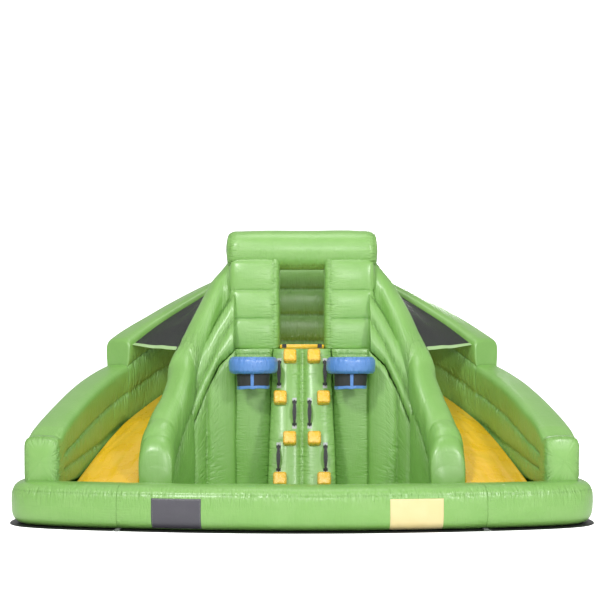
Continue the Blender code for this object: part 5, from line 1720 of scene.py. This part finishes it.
@dataclass
class Chute(Part):
    """One side's slide bed, its yellow surface and the net over it.

    Attributes:
        side: The side.
        columns: Points across the bed and the surface.
        net_points: Points along and across the net.
        net_thickness: Thickness of the net.
    """

    side: Side
    columns: int = 46
    net_points: int = 60
    net_thickness: float = 0.003

    def rings(self, rows: int, low: float | None, lift: float, rim: float) -> Array:
        """Give cross rings of the bed or of the surface on it.

        Args:
            rows: How many rings there are.
            low: Height of the underside, or None to follow the bed.
            lift: Height of the top over the bed.
            rim: How round the top's edges are.

        Returns:
            The rings.
        """
        inner, outer, ups = bed_edges(np.linspace(0, 1, rows))
        f = (1 - np.cos(math.pi * np.linspace(0, 1, self.columns))) / 2
        spot = between(inner, outer, f)
        sag = 0.02 * np.sin(math.pi * f)
        edge = rim * (1 - np.minimum(1, np.minimum(f, 1 - f) / 0.035)) ** 2
        top = place(self.side.sign, spot[..., 0], spot[..., 1], ups[:, None] + lift - sag - edge)
        if low is None:
            bottom = place(self.side.sign, spot[..., 0], spot[..., 1], ups[:, None] + 0.0006 - sag)
        else:
            foot = between(inner, outer, 0.02 + 0.9 * f)
            bottom = place(self.side.sign, foot[..., 0], foot[..., 1], low)
        return joined(top, bottom[:, ::-1], axis=1)

    def bed(self) -> None:
        """Make the bed."""
        skin = Skin(self.rings(80, INSIDE_STAND, -0.001, 0.004))
        self.dresser.filled(f"slide_bed_{self.side.word}", skin, INNER_GREEN, 0.8)

    def surface(self) -> None:
        """Make the yellow surface, with folds down the slope and across it."""
        skin = Skin(self.rings(260, None, 0.03, 0.016))
        along, across = skin.lengths()
        top = np.repeat([1.0, 0.0], self.columns)
        width = across[:, self.columns - 1:self.columns]
        calm = ramp(np.minimum(across, width - across), 0.05) * top[None]
        seed = 171 + self.side.seed
        turn = 0.3 * noise(along / 0.5, across / 0.4, seed + 5)
        ridge = 1 - 2 * np.abs(noise(across / 0.09 + turn, along / 0.55, seed)) ** 0.7
        cross = 1 - 2 * np.abs(noise(along / 0.14 + turn, across / 0.3, seed + 2)) ** 0.7
        fold = 0.55 * ridge + 0.35 * cross + 0.4 * noise(along / 0.28, across / 0.2, seed + 3)
        skin.points[..., 2] += np.where(top > 0, (0.009 * fold - 0.004) * calm, 0)
        self.dresser.filled(f"slide_surface_{self.side.word}", skin, YELLOW, 0.7)

    def net(self) -> None:
        """Make the net and the pale hem along its front edge."""
        node, count = f"chute_net_{self.side.word}", self.net_points
        outer_shares, inner_shares = np.linspace(0.54, 0.95, count), np.linspace(0.55, 0.93, count)
        wall, wing = to_platform(WALL_PATH), to_platform(WING_PATH)
        outer = at_shares(wall, outer_shares) - quarter_turn(runs_of(wall, outer_shares)) * 0.155
        inner = at_shares(wing, inner_shares) + (quarter_turn(runs_of(wing, inner_shares))
                                                 * (wing_half(inner_shares) - 0.02)[:, None])
        high, low = wall_top(outer_shares, True) - 0.1, wing_top(inner_shares) - 0.1
        g = np.linspace(0, 1, count)
        spot = between(inner, outer, g)
        bow = np.sin(math.pi * g)[None]
        up = low[:, None] + (high - low)[:, None] * g[None] - np.linspace(0.004, 0.03, count)[:, None] * bow
        up = up + 0.008 * noise(spot[..., 0] / 0.2, spot[..., 1] / 0.2, 181) * bow
        sheet = place(self.side.sign, spot[..., 0], spot[..., 1], up)
        skin = Skin(joined(sheet, (sheet - UPWARD * self.net_thickness)[:, ::-1], axis=1))
        piece = self.dresser.skin(f"{node}_cloth", skin, None, node)
        hem = Skin(self.hem(sheet[0], sheet[1] - sheet[0]))
        near = hem.puff(Puff(crease=0.0, fold=0.0, sway=0.002, seed=185))
        band = self.dresser.skin(f"{node}_hem", hem, HEM, near=near)

    def hem(self, edge: Array, step: Array) -> Array:
        """Give the rings of the hem band folded over the net's front edge."""
        section = rounded_section(0.05, 0.006, 5.0, 20) - (0, 0.003)
        return (edge[:, None] + unit(step)[:, None] * (section[None, :, :1] + 0.02)
                + UPWARD * section[None, :, 1:] - UPWARD * 0.0015)[1:-1]

    def build(self) -> None:
        """Make the chute."""
        self.bed()
        self.surface()
        self.net()


@dataclass
class ClimbGear(Part):
    """The holds and the webbing handles on the climbing wall, and the straps over the lip.

    Attributes:
        block: The block with the climbing wall.
        strap_out: How far from the middle a strap lies.
        holds: Distance from the middle and height of each hold.
        hold_depth: How far a hold stands out under its rounded face.
        hold_width: Width of a hold.
    """

    block: MiddleBlock
    strap_out: float = 0.205
    holds: tuple = ((0.137, 1.7), (0.245, 1.23), (0.138, 0.78), (0.244, 0.34))
    hold_depth: float = 0.092
    hold_width: float = 0.147

    def directions(self) -> tuple[Array, Array]:
        """Give the wall's upward and its outward direction."""
        upward = unit(np.array([0, CLIMB_LEAN, PLATFORM_TOP]))
        return upward, np.array([0, -upward[2], upward[1]])

    def hold(self, side: Side, number: int, out: float, up: float) -> None:
        """Make one soft hold.

        Args:
            side: The side.
            number: Its number, from the top.
            out: Distance from the middle.
            up: Height over the ground.
        """
        upward, outward = self.directions()
        turn = np.linspace(0.2, 1, 7) * math.pi / 2
        deep = self.hold_depth
        depths = joined(np.linspace(0.0, deep, 16), deep + 0.018 * np.sin(turn))
        size = np.append(np.ones(16), 1 - 0.16 * (1 - np.cos(turn)))[:, None]
        section = rounded_section(self.hold_width, self.hold_width, 7.0, 64) - (0, self.hold_width / 2)
        rings = (place(1.0, side.sign * out, climb_front(up), up) + outward * depths[:, None, None]
                 + RIGHTWARD * (size * section[None, :, 0])[..., None]
                 + upward * (size * section[None, :, 1])[..., None])
        rows, columns = np.array([self.block.spot(x, z) for x, _, z in rings[0]]).T
        foot = self.block.wall.read(rows, columns, 0.0006)
        rings[:16] += (1 - np.arange(16) / 15)[:, None, None] * (foot - rings[0])[None]
        rings = joined(rings, lid_rings(rings[-1], outward, 0.0015))
        row = np.arange(len(rings))
        skin = Skin(rings, seams=(8, 24, 40, 56), bands=(20,), weight=ramp(row, 3)[:, None],
                    sewn=(row < 20)[:, None].astype(float), lids=(0, LID_ROWS))
        puff = Puff(crease=0.002, width=0.006, fold=0.0035, reach=0.03, pitch=0.03, sway=0.003,
                    seed=200 + number)
        self.dresser.padded(f"climbing_hold_{side.word}_{number}", skin, puff, YELLOW, 0.75)

    def handle(self, side: Side, number: int, out: float, up: float) -> None:
        """Make one webbing handle and its stitched end patches.

        Args:
            side: The side.
            number: Its number, from the top.
            out: Distance from the middle.
            up: Height over the ground.
        """
        name, body = (f"{kind}_{side.word}_{number}" for kind in ("wall_handle", "handle"))
        upward, outward = self.directions()
        hinge = next(np.array(joint["pos_m"]) for joint in frame["joints"] if joint["name"] == f"{body}_flop")
        share = np.linspace(0, 1, 70)
        rise = np.sin(math.pi * share) ** 0.6
        line = hinge + upward * (HANDLE_SPAN * (2 * share - 1))[:, None] + outward * (0.055 * rise)[:, None]
        width = 0.0053 + 0.0137 * rise + 0.004 * rise ** 6
        section = rounded_section(2.0, 0.004, 6.0, 28) - (0, 0.002)
        rings = (line[:, None] + RIGHTWARD * (width[:, None] * section[None, :, 0])[..., None]
                 + outward * section[None, :, 1][..., None])
        self.dresser.skin(f"{name}_strap", Skin(capped(rings)), WEBBING, name, body=body)
        routes = [(line + RIGHTWARD * (width * edge)[:, None] + outward * 0.0021)[8:-8]
                  for edge in (-0.7, 0.7)]
        self.dresser.sew(f"{name}_stitches", routes, 0.006, FINE_STITCH, body=body)
        for word, sign in (("foot", -1), ("head", 1)):
            row, column = self.block.spot(side.sign * out, up + sign * HANDLE_SPAN)
            self.sewn_end(f"{name}_{word}", sign, row, column, up)

    def sewn_end(self, name: str, sign: int, row: float, column: float, up: float) -> None:
        """Sew one end of a handle to the wall.

        Args:
            name: Start of the pieces' names.
            sign: Down or up, the end that it is.
            row: The end's row on the wall.
            column: The end's column on the wall.
            up: Height of the handle's middle.
        """
        wall = self.block.wall
        wide = 0.025 / (climb_half(up) - GROOVE_HALF) * CLIMB_COLUMNS
        columns = column - wide, column + wide
        start = row - sign * 1.65
        rows = tuple(sorted((start, start - sign * 3.2)))
        for word, reach, finish in (("patch", (row - 1.6, row + 1.6), TAG), ("tab", rows, WEBBING)):
            self.dresser.skin(f"{name}_{word}", plate(wall, reach, columns, (16, 16), 0.0001, 0.0003), finish)
        routes = [wall.read(row + np.linspace(-1.4, 1.4, 24), np.full(24, column + edge * wide), 0.0004)
                  for edge in (-0.85, 0.85)]
        self.dresser.sew(f"{name}_rows", routes, 0.005, FINE_STITCH, PATCH)

    def strap(self, side: Side) -> None:
        """Make one strap over the platform's lip.

        Args:
            side: The side.
        """
        top, front, out = PLATFORM_TOP + MAT_THICKNESS + MAT_STAND, MAT_FRONT, side.sign * self.strap_out
        route = curve_through(((front - 0.0028, top - 0.04), (front - 0.0028, top - 0.004),
                               (front - 0.0012, top + 0.0012), (front + 0.004, top + 0.0026),
                               (front + 0.12, top + 0.0026)), steps=10)
        run = unit(np.gradient(route, axis=0))
        section = rounded_section(0.05, 0.0044, 6.0, 28) - (0, 0.0022)
        rings = place(1.0, out + section[None, :, 0], route[:, :1] + run[:, 1:] * section[None, :, 1],
                      route[:, 1:] - run[:, :1] * section[None, :, 1])
        node = f"lip_strap_{side.word}"
        self.dresser.skin(f"{node}_webbing", Skin(capped(rings)), WEBBING, node)
        routes = [place(1.0, out + edge, np.linspace(front + 0.01, front + 0.115, 30), top + 0.0049)
                  for edge in (-0.02, 0.02)]
        self.dresser.sew(f"{node}_stitches", routes, 0.006, FINE_STITCH)

    def build(self) -> None:
        """Make all the gear."""
        for side in Side:
            for number, (out, up) in enumerate(self.holds, start=1):
                self.hold(side, number, out, up)
            for number, (out, up) in enumerate(HANDLES, start=1):
                self.handle(side, number, out, up)
            self.strap(side)


@dataclass
class Hoop(Part):
    """A blue inflated ring with the net, tape and hem under it.

    Attributes:
        side: The side.
        up: Height of the ring's middle.
        radius: Radius of the ring's middle line.
        height: Height of the ring.
        drop: How far the net hangs down.
        around: Points round the net.
    """

    side: Side
    up: float = PLATFORM_TOP - 0.19
    radius: float = 0.19
    height: float = 0.19
    drop: float = 0.168
    around: int = 160

    def centre(self, up: float) -> Array:
        """Give the point on the hoop's axis at a height."""
        return place(self.side.sign, HOOP_OUT, PILLAR_FRONT - HOOP_REACH + HOOP_SINK, up)

    def ring(self) -> None:
        """Make the inflated ring, pressed flat on its pillar."""
        section = rounded_section(0.17, self.height, 3.6, 60) - (0, self.height / 2)
        rings = (self.centre(self.up) + circle(150)[1][:, None] * (self.radius + section[None, :, :1])
                 + UPWARD * section[None, :, 1:])
        skin = Skin(rings, loop=True, seams=(7, 53))
        near = skin.puff(Puff(width=0.006, fold=0.007, reach=0.06, pitch=0.05, seed=211 + self.side.seed))
        face = pillar_face(np.abs(skin.points[..., 0])) - DEPTH / 2 - 0.0045
        skin.points[..., 1] = np.minimum(skin.points[..., 1], face)
        self.dresser.filled(f"hoop_ring_{self.side.word}", skin, BLUE, 0.85, near)

    def net(self) -> None:
        """Make the hanging net with its upright tape and its hem."""
        centre, top = self.centre(0.0), self.up - self.height / 2 - 0.0006
        angle, ray = circle(self.around)
        f = np.linspace(0, 1, 26)[:, None]
        wave = 0.0065 * (np.sin(7 * angle) + noise(5 * angle, 0.0, 241))[None] * f ** 1.5
        sag = 0.007 * (noise(4 * np.sin(angle), 3.0, 243) + noise(4 * np.cos(angle), 5.0, 244))[None] * f ** 2
        radius = self.radius - 0.002 - 0.012 * f + wave

        def shell(shift: float) -> Array:
            """Give the net's points, moved outward by a shift."""
            spots = centre + ray[None] * (radius + shift)[..., None]
            spots[..., 2] = top - self.drop * f + sag
            return spots

        def closed(outer: Array, inner: Array) -> Skin:
            """Give the skin of a band round the hoop between two shells."""
            return Skin(joined(outer, inner[::-1]).transpose(1, 0, 2), loop=True)

        node = f"hoop_net_{self.side.word}"
        cloth = self.dresser.skin(f"{node}_cloth", closed(shell(0.0), shell(-0.0025)), None, node)
        hem = closed(shell(0.004)[-6:], shell(-0.0065)[-6:])
        hem.points[:, 5:7, 2] -= 0.001
        band = self.dresser.skin(f"{node}_hem", hem, BLUE)
        start = int(self.around * (0.735 if self.side is Side.LEFT else 0.74))
        outer, inner = (shell(shift)[:21, start:start + 6] for shift in (0.0045, 0.0008))
        tape = self.dresser.skin(f"{node}_tape", Skin(joined(outer, inner[:, ::-1], axis=1)), BLUE)

    def build(self) -> None:
        """Make the hoop."""
        self.ring()
        self.net()


@dataclass
class Fittings(Part):
    """The bare patches on the pool's wall, the anchors, the blower's sleeve and the deflation zip.

    Attributes:
        pool: The base that they lie on.
        sleeve_rows: Rings along the sleeve's outside.
        sleeve_end: Where the sleeve's bore ends, in Y.
        zip_pitch: Spacing of the zip's teeth.
    """

    pool: BasePool
    sleeve_rows: int = 70
    sleeve_end: float = 1.6
    zip_pitch: float = 0.0045

    def kept(self, node: str, finish: Finish) -> None:
        """Give a CAD solid that stays its finish."""
        for slot in frame["nodes"][node].material_slots:
            slot.material = self.dresser.materials.get(finish, solid=True)

    def patch(self, name: str, outs: tuple, ups: tuple, finish: Finish) -> None:
        """Lay a bare printed patch on the pool's front wall.

        Args:
            name: The piece's name.
            outs: First and last X.
            ups: First and last height.
            finish: The patch's finish.
        """
        skin = self.pool.front
        rows = np.round(np.interp(outs, skin.points[:, 0, 0], np.arange(len(skin.points))))
        high = (np.array(ups) - STAND) / BASE_HEIGHT * 2 - 1
        sine = squared(high, 4 / BASE_SQUARENESS)
        columns = np.round(BASE_POINTS * np.arcsin(sine) / (2 * math.pi)) + BASE_POINTS
        counts = int(np.ptp(rows)) + 1, int(np.ptp(columns)) + 1
        self.dresser.skin(name, plate(skin, tuple(rows), tuple(columns), counts, 0.0002, 0.0016), finish)
        steps = np.linspace(0, 4, 241)
        i = np.interp(steps, range(5), rows[[0, 1, 1, 0, 0]] + (1, -1, -1, 1, 1))
        j = np.interp(steps, range(5), columns[[0, 0, 1, 1, 0]] + (1, 1, -1, -1, 1))
        self.dresser.sew(f"{name}_stitches", [skin.read(i, j, 0.0019)], 0.008, STITCH)

    def anchor(self, side: Side) -> None:
        """Finish one anchor's tab and steel ring, and sew the pale tag on the tab.

        Args:
            side: The side.
        """
        name = f"anchor_tab_{side.word}"
        self.kept(name, WEBBING)
        self.kept(f"anchor_ring_{side.word}", STEEL)
        low, top = (np.array(corner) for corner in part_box(name))
        middle = np.array([(low[0] + top[0]) / 2, low[1] + 0.034, 0.0185])
        section = rounded_section(0.03, 0.0014, 6.0, 28)
        outs = np.linspace(-0.019, 0.019, 12)[:, None]
        across, high = section[None, :, 0], section[None, :, 1]
        rings = middle + np.stack(np.broadcast_arrays(outs, across, high), axis=-1)
        self.dresser.skin(f"{name}_tag", Skin(capped(rings)), TAG)
        square = np.array([(-1, -1, 0), (1, -1, 0), (1, 1, 0), (-1, 1, 0), (-1, -1, 0)]) * (0.0165, 0.0125, 0)
        route = middle + square + UPWARD * 0.0016
        self.dresser.sew(f"{name}_stitches", [route], 0.004, SMALL_STITCH, PATCH)

    def sleeve(self) -> None:
        """Make the blower's sleeve, from the base tube's skin to its turned rim and into its bore."""
        low, high = (np.array(corner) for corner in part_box("blower_sleeve"))
        middle, radius, wall = (low[[0, 2]] + high[[0, 2]]) / 2, (high[2] - low[2]) / 2, 0.008
        angle, ray = circle(160)
        ray = ray[:, :2]
        tree = BVHTree.FromPolygons(self.pool.right.points.reshape(-1, 3).tolist(),
                                    self.pool.right.faces()[0].tolist())
        hits = [tree.ray_cast(Vector((x, high[1], z)), Vector((0, -1, 0)))[0]
                for x, z in middle + ray * radius]
        starts = np.array([hit.y - 0.004 if hit else low[1] for hit in hits])
        rim = high[1] - 0.004
        outer = starts + (rim - starts) * np.linspace(0, 1, self.sleeve_rows)[:, None]
        turn = np.linspace(0, math.pi, 9)[:, None]
        inner = rim + (np.maximum(starts + 0.012, self.sleeve_end) - rim) * np.linspace(0, 1, 40)[1:, None]
        backs = joined(outer, rim + 0.004 * np.sin(turn) + 0 * outer[:1], inner)
        lip = radius - wall / 2 + wall / 2 * np.cos(turn[:, 0])
        sizes = joined(np.full(self.sleeve_rows, radius), lip, np.full(39, radius - wall))
        away = outer - starts
        folds = 0.004 * puckers(angle[None] * radius, away, 0.05, 231) * np.exp(-away / 0.12)
        folds = joined(folds, np.zeros((48, 160)))
        folds = folds + 0.0015 * noise(backs / 0.06, 8 * ray[None, :, 0], 233)
        spots = middle + ray[None] * (sizes[:, None] + np.minimum(folds, 0.0005) - 0.001)[..., None]
        rings = np.stack([spots[..., 0], backs, spots[..., 1]], axis=-1)
        centre = np.array([middle[0], self.sleeve_end, middle[1]])
        last = np.stack([rings[-1] + (centre - rings[-1]) * g for g in (0.3, 0.7, 0.97)])
        self.dresser.filled("blower_sleeve", Skin(joined(rings, last)), GREEN, 0.7)
        spots = middle + ray * (radius + 0.0002)
        routes = [np.stack([spots[:, 0], np.full(160, high[1] - back), spots[:, 1]], axis=-1)
                  for back in (0.018, 0.024)]
        self.dresser.sew("blower_sleeve_stitches", routes, 0.008, STITCH)

    def zip(self) -> None:
        """Finish the deflation zip and set its teeth."""
        self.kept("zip_tape", WEBBING)
        self.kept("zip_slider", STEEL)
        low, high = (np.array(corner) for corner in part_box("zip_tape"))
        outs = np.arange(low[0] + 0.008, high[0] - 0.008, self.zip_pitch)
        spots = outs[:, None] * RIGHTWARD + (0, high[1], (low[2] + high[2]) / 2)
        ahead = np.broadcast_to((0.0, 0.0, 1.0), spots.shape)
        teeth = self.dresser.repeat.place("zip_teeth", spots, ahead, (0.009, 0.0004, 0.0026), block=True)
        self.dresser.dress(teeth, STEEL)

    def build(self) -> None:
        """Make all the fittings."""
        self.patch("dark_patch", (-1.469, -0.976), (0.028, 0.327), PATCH)
        self.patch("pale_patch", (0.85, 1.382), (0.02, 0.322), LABEL)
        for side in Side:
            self.anchor(side)
        self.sleeve()
        self.zip()


def main() -> None:
    """Build the slide on the frame and set up its picture."""
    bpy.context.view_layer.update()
    dresser = Dresser(Materials(), Repeat())
    pool, block = BasePool(dresser), MiddleBlock(dresser)
    parts = [pool, Fittings(dresser, pool)]
    parts += [kind(dresser, side) for kind in (Walls, FrontPanels) for side in Side]
    parts += [block, EntryFrame(dresser), ClimbGear(dresser, block)]
    parts += [kind(dresser, side) for side in Side for kind in (Chute, Hoop)]
    for part in (*parts, Studio()):
        LOG.info("Building %s", type(part).__name__)
        part.build()
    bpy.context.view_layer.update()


@dataclass
class Studio:
    """The floor, backdrop, camera and soft lights."""

    def build(self) -> None:
        """Set up the picture."""
        scene = bpy.context.scene
        self.cyclorama()
        camera = add_object("camera", bpy.data.cameras.new("camera"))
        camera.data.lens, camera.data.sensor_width = 60.84, 36.0
        camera.data.shift_x, camera.data.shift_y = -0.00333, 0.1
        camera.data.clip_end = 200.0
        camera.location, camera.rotation_euler = (0.0, -11.65, 1.67), (math.pi / 2, 0, 0)
        scene.camera = camera
        self.lamp("key", (-4.5, -10.5, 8.0), 1.5, 640.0)
        self.lamp("fill", (6.5, -9.5, 5.5), 1.5, 405.0)
        self.lamp("front", (0.5, -12.5, 4.2), 1.5, 195.0)
        self.lamp("top", (0.0, -1.5, 10.5), 4.0, 175.0)
        self.lamp("back", (3.0, 11.0, 6.0), 3.0, 380.0)
        world = bpy.data.worlds.new("studio")
        world.use_nodes = True
        tree = world.node_tree
        seen = add_node(tree, "ShaderNodeLightPath", {}).outputs["Is Camera Ray"]
        strength = math_node(tree, "MULTIPLY_ADD", seen, 0.48, 0.52)
        feed(tree, tree.nodes["Background"], {"Color": (1.0, 1.0, 1.0, 1.0), "Strength": strength})
        scene.world = world
        scene.view_settings.view_transform = "Standard"
        scene.view_settings.look = "None"

    def cyclorama(self) -> None:
        """Make the white floor that turns up into the backdrop."""
        angle = np.linspace(0, math.pi / 2, 24)
        curve = [(20.0 + 4 * math.sin(a), 4 - 4 * math.cos(a)) for a in angle]
        profile = [(-30.0, 0.0), *curve, (24.0, 34.0)]
        outs = np.linspace(-34, 34, 6)
        points = np.array([[(x, y, z - 0.001) for x in outs] for y, z in profile])
        piece = mesh_piece("backdrop", Skin(points, around=False))
        white = (0.95, 0.95, 0.95)
        material, shader = new_material("white_backdrop", white)
        seen = add_node(material.node_tree, "ShaderNodeLightPath", {}).outputs["Is Camera Ray"]
        feed(material.node_tree, shader, {"Base Color": (*white, 1.0), "Roughness": 0.9,
                                          "Emission Color": (1.0, 1.0, 1.0, 1.0), "Emission Strength": seen})
        piece.data.materials.append(material)

    def lamp(self, name: str, spot: tuple, size: float, power: float) -> None:
        """Hang one soft light that faces the slide.

        Args:
            name: The lamp's name.
            spot: Where it hangs.
            size: Width of its square.
            power: Its power.
        """
        light = bpy.data.lights.new(name, "AREA")
        light.shape, light.size, light.energy = "SQUARE", size, power
        lamp = add_object(name, light)
        lamp.location = spot
        lamp.rotation_euler = (Vector((0, 0, 1.2)) - Vector(spot)).to_track_quat("-Z", "Y").to_euler()


if __name__ == "__main__":
    logging.basicConfig(level=logging.INFO)
    main()
